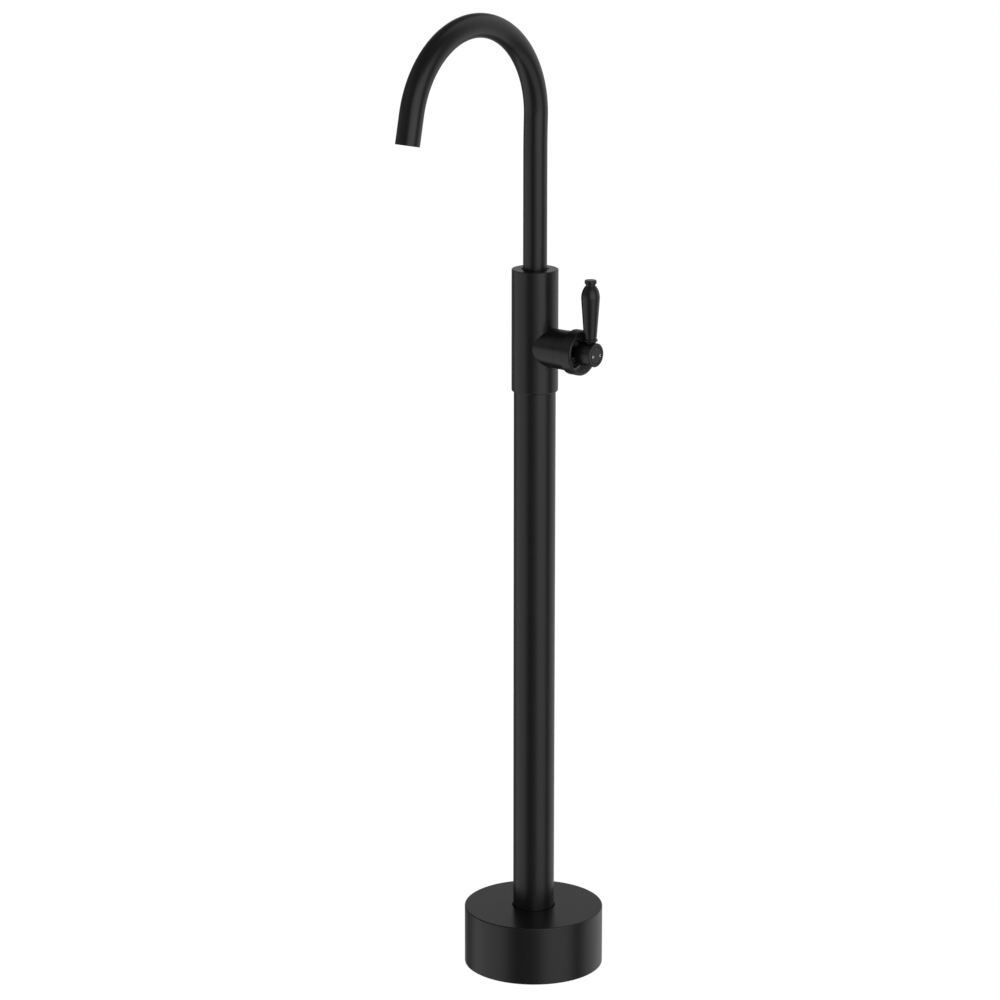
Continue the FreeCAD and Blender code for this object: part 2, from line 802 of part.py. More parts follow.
def make_spout_tube():
    """Riser, slight backward lean, one large bend and a straight tip, as one swept tube."""
    body = new_body("spout_tube")
    path = body.newObject("Sketcher::SketchObject", "spout_route")
    path.AttachmentSupport = [(origin_feature(body, "YZ_Plane"), "")]
    path.MapMode = "FlatFace"
    lean = math.radians(d.spout_lean_angle.value)
    rise = spout_rise.value
    lean_radius = d.spout_lean_radius.value
    bend_radius = d.spout_bend_radius.value
    tip = math.radians(180 - d.spout_tip_angle.value)

    start = Vector(0, ferrule_shoulder.value, 0)
    riser_top = Vector(0, rise, 0)
    lean_centre = Vector(lean_radius, rise, 0)
    lean_end = lean_centre + Vector(-math.cos(lean), math.sin(lean), 0) * lean_radius
    bend_centre = lean_end + Vector(-math.cos(lean), math.sin(lean), 0) * bend_radius
    bend_end = bend_centre + Vector(math.cos(tip), math.sin(tip), 0) * bend_radius
    tip_end = bend_end + Vector(-math.sin(tip), math.cos(tip), 0) * d.spout_tip_length.value
    up = Vector(0, 0, 1)
    path.addGeometry(Part.LineSegment(start, riser_top))
    path.addGeometry(Part.ArcOfCircle(Part.Circle(lean_centre, up, lean_radius), math.pi - lean, math.pi))
    path.addGeometry(Part.ArcOfCircle(Part.Circle(bend_centre, up, bend_radius), -lean, tip))
    path.addGeometry(Part.LineSegment(bend_end, tip_end))

    pin_point(path, 0, 1, 0, ferrule_shoulder)
    pin_point(path, 0, 2, 0, spout_rise)
    path.addConstraint(Sketcher.Constraint("Tangent", 0, 2, 1, 2))
    path.addConstraint(Sketcher.Constraint("Tangent", 1, 1, 2, 1))
    path.addConstraint(Sketcher.Constraint("Tangent", 2, 2, 3, 1))
    pin_radius(path, 1, d.spout_lean_radius)
    pin_radius(path, 2, d.spout_bend_radius)
    lean_drop = d.spout_lean_radius * sine(d.spout_lean_angle)
    index = path.addConstraint(Sketcher.Constraint("DistanceY", 0, 2, 1, 1, lean_drop.value))
    path.setExpression(f"Constraints[{index}]", lean_drop.text)
    index = path.addConstraint(Sketcher.Constraint("Distance", 3, d.spout_tip_length.value))
    path.setExpression(f"Constraints[{index}]", d.spout_tip_length.text)
    tip_drop = d.spout_tip_length * cosine(d.spout_tip_angle)
    index = path.addConstraint(Sketcher.Constraint("DistanceY", 3, 2, 3, 1, tip_drop.value))
    path.setExpression(f"Constraints[{index}]", tip_drop.text)

    section = new_sketch(body, "XY_Plane", ferrule_shoulder)
    draw_circle(section, 0, 0, d.spout_radius)
    draw_circle(section, 0, 0, spout_bore)
    sweep = body.newObject("PartDesign::AdditivePipe", "spout_sweep")
    sweep.Profile = section
    sweep.Spine = path
    doc.recompute()
    return body


def tip_point(distance):
    """The point (y, z) on the tip's axis at a distance up from its end face."""
    lean = d.spout_lean_angle
    tip = d.spout_tip_angle
    bend_y = (d.spout_lean_radius * (1 - cosine(lean))) - d.spout_bend_radius * cosine(lean)
    bend_z = spout_rise + (d.spout_lean_radius + d.spout_bend_radius) * sine(lean)
    along = d.spout_tip_length - distance
    y = bend_y - d.spout_bend_radius * cosine(tip) - along * sine(tip)
    z = bend_z + d.spout_bend_radius * sine(tip) - along * cosine(tip)
    return y, z


def put_at_tip(item, distance):
    """Stand a piece in the spout's tip, its local Z pointing out of the tube."""
    y, z = tip_point(as_size(distance))
    item.Placement.Rotation = FreeCAD.Rotation(Vector(1, 0, 0), 180)
    bind(item, "Placement.Rotation.Axis.x", 1)
    bind(item, "Placement.Rotation.Angle", 180 - d.spout_tip_angle)
    bind(item, "Placement.Base.y", y)
    bind(item, "Placement.Base.z", z)


def make_spout_ferrule():
    """Turned end of the spout: two seal grooves, and a groove for the lock screw's point."""
    body = new_body("spout_ferrule")
    groove_low = lock_height - d.lock_groove_width / 2
    groove_high = lock_height + d.lock_groove_width / 2
    outline = [(ferrule_bore, ferrule_bottom), (ferrule_radius, ferrule_bottom)]
    for index in range(DIMENSIONS["ferrule_seal_count"]):
        low = ferrule_bottom + d.ferrule_seal_first + index * d.ferrule_seal_pitch
        outline += [
            (ferrule_radius, low),
            (ferrule_seal_radius, low),
            (ferrule_seal_radius, low + d.ferrule_seal_groove),
            (ferrule_radius, low + d.ferrule_seal_groove),
        ]
    outline += [
        (ferrule_radius, groove_low),
        (lock_groove_radius, groove_low),
        (lock_groove_radius, groove_high),
        (ferrule_radius, groove_high),
        (ferrule_radius, ferrule_shoulder),
        (spout_bore - d.running_gap, ferrule_shoulder),
        (spout_bore - d.running_gap, ferrule_shoulder + d.ferrule_spigot),
        (ferrule_bore, ferrule_shoulder + d.ferrule_spigot),
    ]
    revolve(body, outline)
    return body


def make_spout_seals():
    section = spout_socket_radius - d.running_gap / 2 - ferrule_seal_radius
    middle = ferrule_bottom + d.ferrule_seal_first + d.ferrule_seal_groove / 2
    rings = [torus(f"spout_seal_{index + 1}", ferrule_seal_radius, section,
                   z=middle + index * d.ferrule_seal_pitch)
             for index in range(DIMENSIONS["ferrule_seal_count"])]
    return group("spout_seals", rings)


def make_spout_bush():
    return tube("spout_bush", "XY_Plane", bush_seat, d.bush_height, bush_radius,
                d.spout_radius + d.running_gap)


def make_spout_thrust_washer():
    return tube("spout_thrust_washer", "XY_Plane", spout_seat, d.thrust_washer_thick,
                spout_socket_radius - d.push_fit, spout_socket_radius - d.thrust_washer_width)


def make_spout_lock_screw():
    """Screw with a plain point that runs in the ferrule's groove."""
    body = new_body("spout_lock_screw")
    tip = lock_groove_radius + d.lock_point_gap
    thread = d.lock_body_radius - d.thread_fit
    shoulder = ferrule_radius + d.lock_point_gap
    revolve(body, [
        (0, tip),
        (d.lock_point_radius, tip),
        (d.lock_point_radius, shoulder),
        (thread, shoulder),
        (thread, body_radius - d.body_edge),
        (0, body_radius - d.body_edge),
    ])
    pocket(body, "XY_Plane", body_radius - d.body_edge, d.lock_body_radius,
           lambda sketch: draw_hexagon(sketch, d.lock_point_radius))
    body.Placement.Rotation = FreeCAD.Rotation(Vector(1, 0, 0), -90)
    bind(body, "Placement.Base.z", lock_height)
    return body


def make_outlet():
    """Flow straightener in the spout's tip: washer, perforated grid and a threaded shell."""
    shell_radius = spout_bore - d.thread_fit
    shell_bore = shell_radius - d.aerator_wall
    lip_bore = shell_bore - d.aerator_lip

    shell = new_body("aerator_shell")
    revolve(shell, [
        (shell_bore, -d.aerator_length),
        (shell_radius, -d.aerator_length),
        (shell_radius, 0),
        (lip_bore, 0),
        (lip_bore, -d.aerator_lip),
        (shell_bore, -d.aerator_lip),
    ])
    put_at_tip(shell, d.aerator_sink)

    grid = new_body("aerator_grid")
    pad(grid, "XY_Plane", -d.aerator_lip - d.grid_thick, d.grid_thick,
        lambda sketch: draw_circle(sketch, 0, 0, shell_bore - d.push_fit))
    hole_depth = d.aerator_lip + d.grid_thick
    pocket(grid, "XY_Plane", 0, hole_depth,
           lambda sketch: draw_circle(sketch, 0, 0, d.grid_hole_radius))
    rings = ((d.grid_inner_circle, d.grid_inner_count), (d.grid_outer_circle, d.grid_outer_count))
    for circle, count in rings:
        hole = pocket(grid, "XY_Plane", 0, hole_depth,
                      lambda sketch: draw_circle(sketch, circle, 0, d.grid_hole_radius))
        polar(grid, hole, "Z_Axis", count)
    put_at_tip(grid, d.aerator_sink)

    washer = tube("aerator_washer", "XY_Plane", -d.aerator_length - d.aerator_washer_thick,
                  d.aerator_washer_thick, shell_radius, lip_bore)
    put_at_tip(washer, d.aerator_sink)


# ---------------------------------------------------------------- cartridge

def draw_pegs(sketch, axis_height, radius):
    """Two locating pegs, one each side, a little below the valve's axis."""
    for side in (-1, 1):
        draw_circle(sketch, side * d.base_peg_spread, axis_height - d.base_peg_drop, radius)


def port_circles(radius):
    """Two inlets above, one outlet below, on one circle about the valve's axis."""
    def draw(sketch):
        draw_circle(sketch, -inlet_port_y, inlet_port_z, radius)
        draw_circle(sketch, inlet_port_y, inlet_port_z, radius)
        draw_circle(sketch, 0, -d.port_circle_radius, radius)
    return draw


def make_cartridge_base():
    """Base with two pegs below, a keyed recess for the fixed disc and two snap legs."""
    body = new_body("cartridge_base", valve_frame=True)
    revolve(body, [
        (chamber_seat, 0),
        (fixed_disc_start, 0),
        (fixed_disc_start, fixed_disc_recess),
        (housing_start, fixed_disc_recess),
        (housing_start, d.cartridge_radius),
        (chamber_seat, d.cartridge_radius),
    ], axis="H_Axis")
    pad(body, "YZ_Plane", fixed_disc_start, d.fixed_disc_sink,
        lambda sketch: draw_circle(sketch, 0, fixed_disc_recess, d.disc_key_radius))
    peg_start = chamber_seat - d.base_peg_length
    pad(body, "YZ_Plane", peg_start, fixed_disc_start - peg_start,
        lambda sketch: draw_pegs(sketch, 0, d.base_peg_radius))
    for middle in (0, 180):
        pad(body, "YZ_Plane", housing_start - d.snap_root, d.snap_root + d.snap_height,
            lambda sketch: draw_sector(sketch, housing_bore, d.cartridge_radius, d.snap_half_angle, middle))
    pocket(body, "YZ_Plane", housing_start, d.base_thick, port_circles(d.port_seal_radius))
    return body


def make_port_seals():
    """Rubber sleeves through the base: they seal on the chamber's floor and on the fixed disc."""
    rings = []
    places = ((-inlet_port_y, inlet_port_z), (inlet_port_y, inlet_port_z), (0, -d.port_circle_radius))
    for index, (y, z) in enumerate(places):
        rings.append(tube(f"cartridge_port_seal_{index + 1}", "YZ_Plane", chamber_seat,
                          d.base_thick - d.fixed_disc_sink, d.port_seal_radius, d.disc_port_radius,
                          x=y, y=z, valve_frame=True))
    return group("cartridge_port_seals", rings)


def make_fixed_disc():
    body = new_body("fixed_ceramic_disc", valve_frame=True)
    pad(body, "YZ_Plane", fixed_disc_start, d.fixed_disc_thick,
        lambda sketch: draw_circle(sketch, 0, 0, fixed_disc_radius))
    pocket(body, "YZ_Plane", fixed_disc_start + d.fixed_disc_thick, d.fixed_disc_thick,
           port_circles(d.disc_port_radius))
    pocket(body, "YZ_Plane", fixed_disc_start + d.fixed_disc_thick, d.fixed_disc_thick,
           lambda sketch: draw_circle(sketch, 0, fixed_disc_recess, d.disc_key_radius + d.slide_gap))
    return body


def draw_carrier_lugs(sketch, radius):
    """Two round lugs on the moving disc's rim, one each side."""
    for side in (-1, 1):
        draw_circle(sketch, side * moving_disc_radius, -d.disc_rest_shift, radius)


def make_moving_disc():
    """Disc with a half-moon cavity that joins the inlets to the outlet when it slides up."""
    body = new_body("moving_ceramic_disc", valve_frame=True)
    pad(body, "YZ_Plane", moving_disc_start, d.moving_disc_thick,
        lambda sketch: draw_circle(sketch, 0, -d.disc_rest_shift, moving_disc_radius))
    rise = d.cavity_top + d.disc_rest_shift
    half = math.sqrt(d.cavity_radius.value ** 2 - rise.value ** 2)
    half_width = Size(half, f"sqrt({(d.cavity_radius * d.cavity_radius).text} - {(rise * rise).text})")

    def half_moon(sketch):
        bottom = -d.disc_rest_shift - d.cavity_radius
        draw_profile(sketch, [
            (-half_width, d.cavity_top),
            (0, bottom, d.cavity_radius),
            (half_width, d.cavity_top, d.cavity_radius),
        ])

    pocket(body, "YZ_Plane", moving_disc_start, d.cavity_depth, half_moon, along_normal=True)
    pocket(body, "YZ_Plane", carrier_start, d.carrier_lug_length + d.slide_gap,
           lambda sketch: draw_carrier_lugs(sketch, d.carrier_lug_radius + d.slide_gap))
    return body


def make_disc_carrier():
    """Plastic carrier that drives the moving disc by two lugs; the stem's foot sits in its pocket."""
    body = new_body("disc_carrier", valve_frame=True)
    pad(body, "YZ_Plane", carrier_start, d.carrier_plate,
        lambda sketch: draw_circle(sketch, 0, -d.disc_rest_shift, moving_disc_radius))
    pad(body, "YZ_Plane", carrier_start, d.carrier_height,
        lambda sketch: draw_box(sketch, -d.carrier_half_width, d.carrier_half_width,
                                -d.carrier_half_height, d.carrier_half_height))
    pad(body, "YZ_Plane", carrier_start - d.carrier_lug_length, d.carrier_lug_length + d.carrier_plate,
        lambda sketch: draw_carrier_lugs(sketch, d.carrier_lug_radius))
    reach = d.foot_radius + d.foot_clearance
    pocket(body, "YZ_Plane", carrier_start + d.carrier_height, d.carrier_height,
           lambda sketch: draw_box(sketch, -reach, reach, -reach, reach))
    return body


def make_stem_turret():
    """Turning guide of the stem: it carries the pivot pin and turns the discs by two lugs."""
    body = new_body("stem_turret", valve_frame=True)
    seal_low = turret_seal_middle - d.turret_seal_thick / 2
    seal_high = turret_seal_middle + d.turret_seal_thick / 2
    seal_floor = turret_radius - d.turret_seal_thick
    revolve(body, [
        (turret_start, 0),
        (cartridge_end, 0),
        (cartridge_end, d.turret_nose_radius),
        (turret_nose_start, d.turret_nose_radius),
        (turret_nose_start, turret_radius),
        (seal_high, turret_radius),
        (seal_high, seal_floor),
        (seal_low, seal_floor),
        (seal_low, turret_radius),
        (turret_start, turret_radius),
    ], axis="H_Axis")

    lug_start = carrier_start + d.carrier_plate + d.slide_gap
    inner = d.carrier_half_width + d.slide_gap
    outer = turret_radius - d.turret_lug_margin
    for low, high in ((-outer, -inner), (inner, outer)):
        pad(body, "YZ_Plane", lug_start, turret_start - lug_start + d.turret_lug_root,
            lambda sketch: draw_box(sketch, low, high, -d.turret_lug_half_height, d.turret_lug_half_height))

    # tab that meets the housing's stops at the ends of the temperature range
    pad(body, "YZ_Plane", turret_nose_start, d.turret_nose_length,
        lambda sketch: draw_sector(sketch, d.turret_nose_radius - d.stop_tab_root, d.stop_tab_radius,
                                   d.stop_tab_half_angle, BELOW))

    # slot that lets the stem tilt, and the cross hole of the pivot pin
    pocket(body, "YZ_Plane", cartridge_end, cartridge_end - lug_start,
           lambda sketch: draw_box(sketch, -d.turret_slot_half_width, d.turret_slot_half_width,
                                   -d.turret_slot_half_height, d.turret_slot_half_height))
    for toward_back in (False, True):
        pocket(body, "XZ_Plane", 0, d.cartridge_radius,
               lambda sketch: draw_circle(sketch, pivot_reach, 0, d.pin_radius), along_normal=toward_back)
    return body


def make_turret_seal():
    ring = torus("turret_seal", turret_radius - d.turret_seal_thick, d.turret_seal_thick)
    ring.Placement.Rotation = FreeCAD.Rotation(Vector(0, 1, 0), 90)
    place(ring, turret_seal_middle, 0, d.valve_height)
    return ring


def make_pivot_pin():
    half_length = turret_radius - d.pin_end_margin
    pin = cylinder("pivot_pin", d.pin_radius, 2 * half_length)
    pin.Label = "pivot_pin"
    pin.Placement.Rotation = FreeCAD.Rotation(Vector(1, 0, 0), 90)
    place(pin, pivot_reach, half_length, d.valve_height)
    return pin


def make_cartridge_stem():
    """Joystick: a foot in the carrier, an eye on the pin, a round shank for the hub."""
    body = new_body("cartridge_stem", valve_frame=True)
    eye = d.turret_slot_half_width - d.slide_gap
    neck_end = pivot_reach - d.foot_radius
    foot_back = foot_reach - d.foot_radius * cosine(d.foot_back_angle)
    foot_front = foot_reach + d.foot_radius * cosine(d.foot_front_angle)
    revolve(body, [
        (foot_back, 0),
        (foot_back, d.foot_radius * sine(d.foot_back_angle)),
        (foot_front, d.foot_radius * sine(d.foot_front_angle), -d.foot_radius),
        (neck_end, d.stem_flat),
        (neck_end, d.stem_radius),
        (stem_end, d.stem_radius),
        (stem_end, 0),
    ], axis="H_Axis")
    pad(body, "XZ_Plane", -eye, 2 * eye,
        lambda sketch: draw_circle(sketch, pivot_reach, 0, d.pin_radius + d.stem_radius))
    pocket(body, "XZ_Plane", eye, 2 * eye,
           lambda sketch: draw_circle(sketch, pivot_reach, 0, d.pin_radius + d.pin_fit))
    return body


def make_cartridge_housing():
    """Shell over the discs and the turret: windows for the snap legs, a stop arc in its front."""
    body = new_body("cartridge_housing", valve_frame=True)
    opening = d.turret_nose_radius + d.slide_gap
    front_wall = turret_nose_start + d.slide_gap
    lip_radius = chamber_thread_radius - d.housing_flange_margin
    revolve(body, [
        (housing_start, housing_bore),
        (front_wall, housing_bore),
        (front_wall, opening),
        (cartridge_end, opening),
        (cartridge_end, d.cartridge_radius),
        (nut_start, d.cartridge_radius),
        (nut_start, lip_radius),
        (chamber_shoulder, lip_radius),
        (chamber_shoulder, d.cartridge_radius),
        (housing_start, d.cartridge_radius),
    ], axis="H_Axis")
    stop_half_angle = d.temperature_half_range + d.stop_tab_half_angle + d.stop_angle_gap
    pocket(body, "YZ_Plane", cartridge_end, cartridge_end - front_wall,
           lambda sketch: draw_sector(sketch, d.turret_nose_radius, d.stop_tab_radius + d.slide_gap,
                                      stop_half_angle, BELOW))
    inside, outside = housing_bore - d.slide_gap, d.cartridge_radius + d.slide_gap
    window_half_angle = d.snap_half_angle + d.snap_angle_gap
    for middle in (0, 180):
        pocket(body, "YZ_Plane", housing_start, d.snap_height + d.slide_gap,
               lambda sketch: draw_sector(sketch, inside, outside, window_half_angle, middle),
               along_normal=True)
    return body


def make_cartridge_nut():
    """Ring nut that holds the cartridge down: plain thread, hexagon in front of the neck."""
    body = new_body("cartridge_nut", valve_frame=True)
    nut_end = nut_head_start + d.nut_hex_thick
    pad(body, "YZ_Plane", nut_start, nut_head_start - nut_start,
        lambda sketch: draw_circle(sketch, 0, 0, chamber_thread_radius - d.thread_fit))
    pad(body, "YZ_Plane", nut_head_start, d.nut_hex_thick,
        lambda sketch: draw_hexagon(sketch, chamber_thread_radius + d.nut_hex_margin))
    pocket(body, "YZ_Plane", nut_end, nut_end - nut_start,
           lambda sketch: draw_circle(sketch, 0, 0, d.cartridge_radius + d.slide_gap))
    return body


def make_bonnet():
    body = new_body("bonnet", valve_frame=True)
    start = d.boss_reach + d.bonnet_gap
    step_start = rim_start - d.rim_step
    mouth_floor = neck_reach + d.bonnet_gap
    mouth_radius = rim_radius - d.rim_wall
    rim_round = d.rim_wall - d.rim_lip
    thread = neck_radius + d.thread_fit
    seal_seat = neck_radius + d.seam_seal_thick
    revolve(body, [
        (start, seal_seat),
        (start, bonnet_radius),
        (step_start, bonnet_radius),
        (step_start, rim_radius - d.rim_step),
        (rim_start, rim_radius),
        (bonnet_end - rim_round, rim_radius),
        (bonnet_end, rim_radius - rim_round, -rim_round),
        (bonnet_end, mouth_radius),
        (mouth_floor, mouth_radius),
        (mouth_floor, thread),
        (start + d.seam_seal_thick, thread),
        (start + d.seam_seal_thick, seal_seat),
    ], axis="H_Axis")
    return body


def make_bonnet_seal():
    section = d.seam_seal_thick
    ring = torus("bonnet_seal", neck_radius, section)
    ring.Placement.Rotation = FreeCAD.Rotation(Vector(0, 1, 0), 90)
    place(ring, d.boss_reach + section / 2, 0, d.valve_height)
    return ring


# ---------------------------------------------------------------- handle

def make_handle_hub():
    body = new_body("handle_hub", valve_frame=True)
    bore = d.stem_radius + d.push_fit
    edge = d.hub_edge
    disc_seat = hub_end - d.disc_plate_thick
    disc_wall = d.disc_plate_radius + d.disc_plate_groove
    revolve(body, [
        (hub_boss_start, bore),
        (hub_boss_start, d.hub_boss_radius),
        (hub_start, d.hub_boss_radius),
        (hub_start, d.hub_radius - edge),
        (hub_start + edge, d.hub_radius, -edge),
        (hub_end - edge, d.hub_radius),
        (hub_end, d.hub_radius - edge, -edge),
        (hub_end, disc_wall),
        (disc_seat, disc_wall),
        (disc_seat, 0),
        (stem_end, 0),
        (stem_end, bore),
    ], axis="H_Axis")
    pocket(body, "XY_Plane", d.lever_rod_depth, d.hub_radius,
           lambda sketch: draw_circle(sketch, lever_reach, 0, lever_rod_bore), along_normal=True)
    pocket(body, "XY_Plane", collar_foot, d.hub_radius,
           lambda sketch: draw_circle(sketch, lever_reach, 0, d.collar_seat_radius), along_normal=True)
    pocket(body, "XY_Plane", 0, d.hub_radius,
           lambda sketch: draw_circle(sketch, hub_screw_reach, 0, d.hub_screw_radius))
    return body


def make_hub_grub_screw():
    length = d.hub_radius - d.stem_radius - d.hub_edge
    screw = grub_screw("hub_grub_screw", d.hub_screw_radius - d.thread_fit, length, d.hub_screw_socket)
    screw.Placement.Rotation = FreeCAD.Rotation(Vector(1, 0, 0), 180)
    place(screw, hub_screw_reach, 0, d.valve_height - d.stem_radius)
    return screw


def make_indicator_disc():
    body = new_body("indicator_disc", valve_frame=True)
    pad(body, "YZ_Plane", hub_end - d.disc_plate_thick, d.disc_plate_thick,
        lambda sketch: draw_circle(sketch, 0, 0, d.disc_plate_radius))
    return body


def lever_body(label):
    """A piece turned about the lever's own upright axis; heights are above the valve's axis."""
    body = new_body(label, valve_frame=True)
    bind(body, "Placement.Base.x", lever_reach)
    return body


def make_lever():
    collar = lever_body("lever_collar")
    bead_round = (collar_bead_top - collar_low) / 2
    bead_middle = (collar_bead_top + collar_low) / 2
    revolve(collar, [
        (lever_rod_bore, collar_foot),
        (d.collar_foot_radius, collar_foot),
        (d.collar_foot_radius, collar_neck_top),
        (d.collar_bead_radius - bead_round, collar_low),
        (d.collar_bead_radius, bead_middle, bead_round),
        (d.collar_bead_radius - bead_round, collar_bead_top, bead_round),
        (d.grip_base_radius, grip_base),
        (lever_rod_bore, grip_base),
    ])

    grip = lever_body("lever_grip")
    revolve(grip, [
        (lever_rod_bore, grip_base),
        (d.grip_base_radius, grip_base),
        (d.grip_shoulder_radius, grip_shoulder),
        (d.grip_top_radius, grip_top, d.grip_crown_radius),
        (lever_rod_bore, grip_top),
    ])

    finial = lever_body("lever_finial")
    revolve(finial, [
        (0, lever_rod_top),
        (lever_rod_bore, lever_rod_top),
        (lever_rod_bore, grip_top),
        (d.finial_neck_radius, grip_top),
        (d.finial_neck_radius, finial_neck_top),
        (d.finial_radius, finial_low),
        (d.finial_radius, finial_top - d.finial_edge),
        (d.finial_radius - d.finial_edge, finial_top, d.finial_edge),
        (0, finial_top),
    ])

    rod = lever_body("lever_rod")
    pad(rod, "XY_Plane", d.lever_rod_depth, lever_rod_top - d.lever_rod_depth,
        lambda sketch: draw_circle(sketch, 0, 0, d.lever_rod_radius))


# ---------------------------------------------------------------- build and write

NODES = [
    "floor_flange", "column_lock_screws", "base_cover", "cover_seal", "column_tube",
    "supply_pipe_hot", "supply_pipe_cold", "pipe_base_seals", "pipe_head_seals",
    "mixer_body", "spout_tube", "spout_ferrule", "spout_seals", "spout_bush",
    "spout_thrust_washer", "spout_lock_screw", "aerator_shell", "aerator_grid", "aerator_washer",
    "cartridge_base", "cartridge_port_seals", "fixed_ceramic_disc", "moving_ceramic_disc",
    "disc_carrier", "stem_turret", "turret_seal", "pivot_pin", "cartridge_stem",
    "cartridge_housing", "cartridge_nut", "bonnet", "bonnet_seal",
    "handle_hub", "hub_grub_screw", "indicator_disc",
    "lever_collar", "lever_grip", "lever_finial", "lever_rod",
]


def check_document():
    for item in doc.Objects:
        if {"Invalid", "Error"} & set(item.State):
            raise RuntimeError(f"{item.Label} is in state {item.State}")


def write_parts():
    os.makedirs("parts", exist_ok=True)
    for name in NODES:
        item = doc.getObjectsByLabel(name)[0]
        if item.Shape.isNull() or not item.Shape.isValid():
            raise RuntimeError(f"{name} has no valid shape")
    for name in NODES:
        shape = doc.getObjectsByLabel(name)[0].Shape
        shape.exportStep(f"parts/{name}.step")
        box = shape.BoundBox
        print(f"{name:24s} solids {len(shape.Solids)}  volume {shape.Volume:10.1f}"
              f"  x {box.XMin:7.2f} {box.XMax:7.2f}  y {box.YMin:7.2f} {box.YMax:7.2f}"
              f"  z {box.ZMin:7.2f} {box.ZMax:7.2f}")


make_floor_flange()
make_column_lock_screws()
make_base_cover()
make_cover_seal()
make_column_tube()
make_supply_pipes()
make_mixer_body()
make_spout_tube()
make_spout_ferrule()
make_spout_seals()
make_spout_bush()
make_spout_thrust_washer()
make_spout_lock_screw()
make_outlet()
make_cartridge_base()
make_port_seals()
make_fixed_disc()
make_moving_disc()
make_disc_carrier()
make_stem_turret()
make_turret_seal()
make_pivot_pin()
make_cartridge_stem()
make_cartridge_housing()
make_cartridge_nut()
make_bonnet()
make_bonnet_seal()
make_handle_hub()
make_hub_grub_screw()
make_indicator_disc()
make_lever()
doc.recompute()
check_document()
write_parts()
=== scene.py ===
"""Looks of the floor standing bath filler: visible surfaces, finishes, studio and camera."""
import json
import math

import bpy
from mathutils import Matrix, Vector

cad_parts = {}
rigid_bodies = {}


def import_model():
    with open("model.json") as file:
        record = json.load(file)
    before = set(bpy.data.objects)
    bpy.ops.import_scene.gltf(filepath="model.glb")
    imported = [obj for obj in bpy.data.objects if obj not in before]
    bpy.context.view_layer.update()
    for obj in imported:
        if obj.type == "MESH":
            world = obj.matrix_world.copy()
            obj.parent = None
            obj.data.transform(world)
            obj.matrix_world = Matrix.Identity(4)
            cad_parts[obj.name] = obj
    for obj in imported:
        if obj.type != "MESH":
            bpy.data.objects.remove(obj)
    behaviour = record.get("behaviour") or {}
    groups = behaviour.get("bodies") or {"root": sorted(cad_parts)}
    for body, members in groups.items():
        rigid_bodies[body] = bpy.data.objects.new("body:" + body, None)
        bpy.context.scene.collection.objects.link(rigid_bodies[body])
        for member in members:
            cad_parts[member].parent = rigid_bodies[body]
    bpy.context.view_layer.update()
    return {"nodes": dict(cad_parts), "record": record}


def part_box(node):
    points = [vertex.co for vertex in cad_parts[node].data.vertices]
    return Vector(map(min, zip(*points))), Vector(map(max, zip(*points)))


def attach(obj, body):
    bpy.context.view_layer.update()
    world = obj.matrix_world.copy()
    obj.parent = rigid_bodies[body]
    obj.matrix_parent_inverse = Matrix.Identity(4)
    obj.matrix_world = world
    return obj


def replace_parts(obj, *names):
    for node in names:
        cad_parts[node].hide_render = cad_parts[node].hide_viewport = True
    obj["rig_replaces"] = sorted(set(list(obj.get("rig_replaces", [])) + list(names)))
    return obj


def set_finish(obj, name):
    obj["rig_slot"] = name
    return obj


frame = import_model()

MM = 0.001
X, Y, Z = 0, 1, 2

TURN_SIDES = 192             # sides of a turned piece
TUBE_SIDES = 128             # sides of the spout's tube
BEND_STEPS = 120             # steps round the spout's bend
LEAN_STEPS = 8               # steps along its slight lean
ARC_STEP = math.radians(9)   # largest turn from one point of a rounded edge to the next
SHARP = math.radians(30)     # faces that meet at more than this keep a sharp edge
WELD = 0.001 * MM            # points closer than this are one

COAT_LEVEL = 0.007           # tone of the black coat, matched to the photo with the light
COAT_ROUGHNESS = 0.30
# tone of the primer in the bonnet's mouth, a guess
PAINTED_LIGHT_LEVEL = 0.20          # tone of the painted light on the lower side of the bonnet's mouth
NOISE_MIDDLE = 0.5           # the mean of the noise texture
MIX_INPUTS = (0, 6, 7)       # a Mix node's sockets for the amount and the two colours
MIX_OUTPUT = 2

FLOOR_SIZE = 30.0
FLOOR_DROP = 0.1 * MM        # the floor lies just under the object's foot
FLOOR_TONE = 0.8
FLOOR_ROUGHNESS = 0.9
FLOOR_GLOW = 1.12            # with the light that falls on it, the floor is just white
GLOW_SHARE = 0.88            # the rest of the floor's tone is light and the object's shadow
WHITE = (1, 1, 1, 1)

ROOM_LEVEL = 0.136           # light of the room between its panels
MATTE_GAIN = 1.5             # the room lights matt surfaces more than it shines in the coat
SOFT_RISE = 0.14             # soft edge at a panel's foot and top, as a sine of elevation
LOWEST, HIGHEST = -1, 1      # foot and top of a panel that has none, as sines of elevation
LEAST_LEVEL = 0.05           # keeps a ray that points straight up or down from dividing by 0

# The camera was solved from the object's outlines in the photo.
CAMERA_PLACE = Vector((2.36964, -2.96487, 1.51084))
CAMERA_YAW = math.radians(39.182)
CAMERA_PITCH = math.radians(14.681)
CAMERA_LENS = 134.0
CAMERA_SENSOR = 36.0


# ---------------------------------------------------------------- sizes, from the frame

def reach(node, axis):
    """A node's lowest and highest place along one axis."""
    low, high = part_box(node)
    return low[axis], high[axis]


cover_radius = reach("base_cover", X)[1]
cover_height = reach("base_cover", Z)[1]
column_radius = reach("column_tube", X)[1]
column_foot, column_top = reach("column_tube", Z)
valve_height = sum(reach("indicator_disc", Z)) / 2
bonnet_start, bonnet_end = reach("bonnet", X)
hub_boss_start, hub_end = reach("handle_hub", X)
hub_radius = reach("handle_hub", Y)[1]
plate_radius = reach("indicator_disc", Y)[1]
plate_seat = reach("indicator_disc", X)[0]
lever_axis = sum(reach("lever_grip", X)) / 2

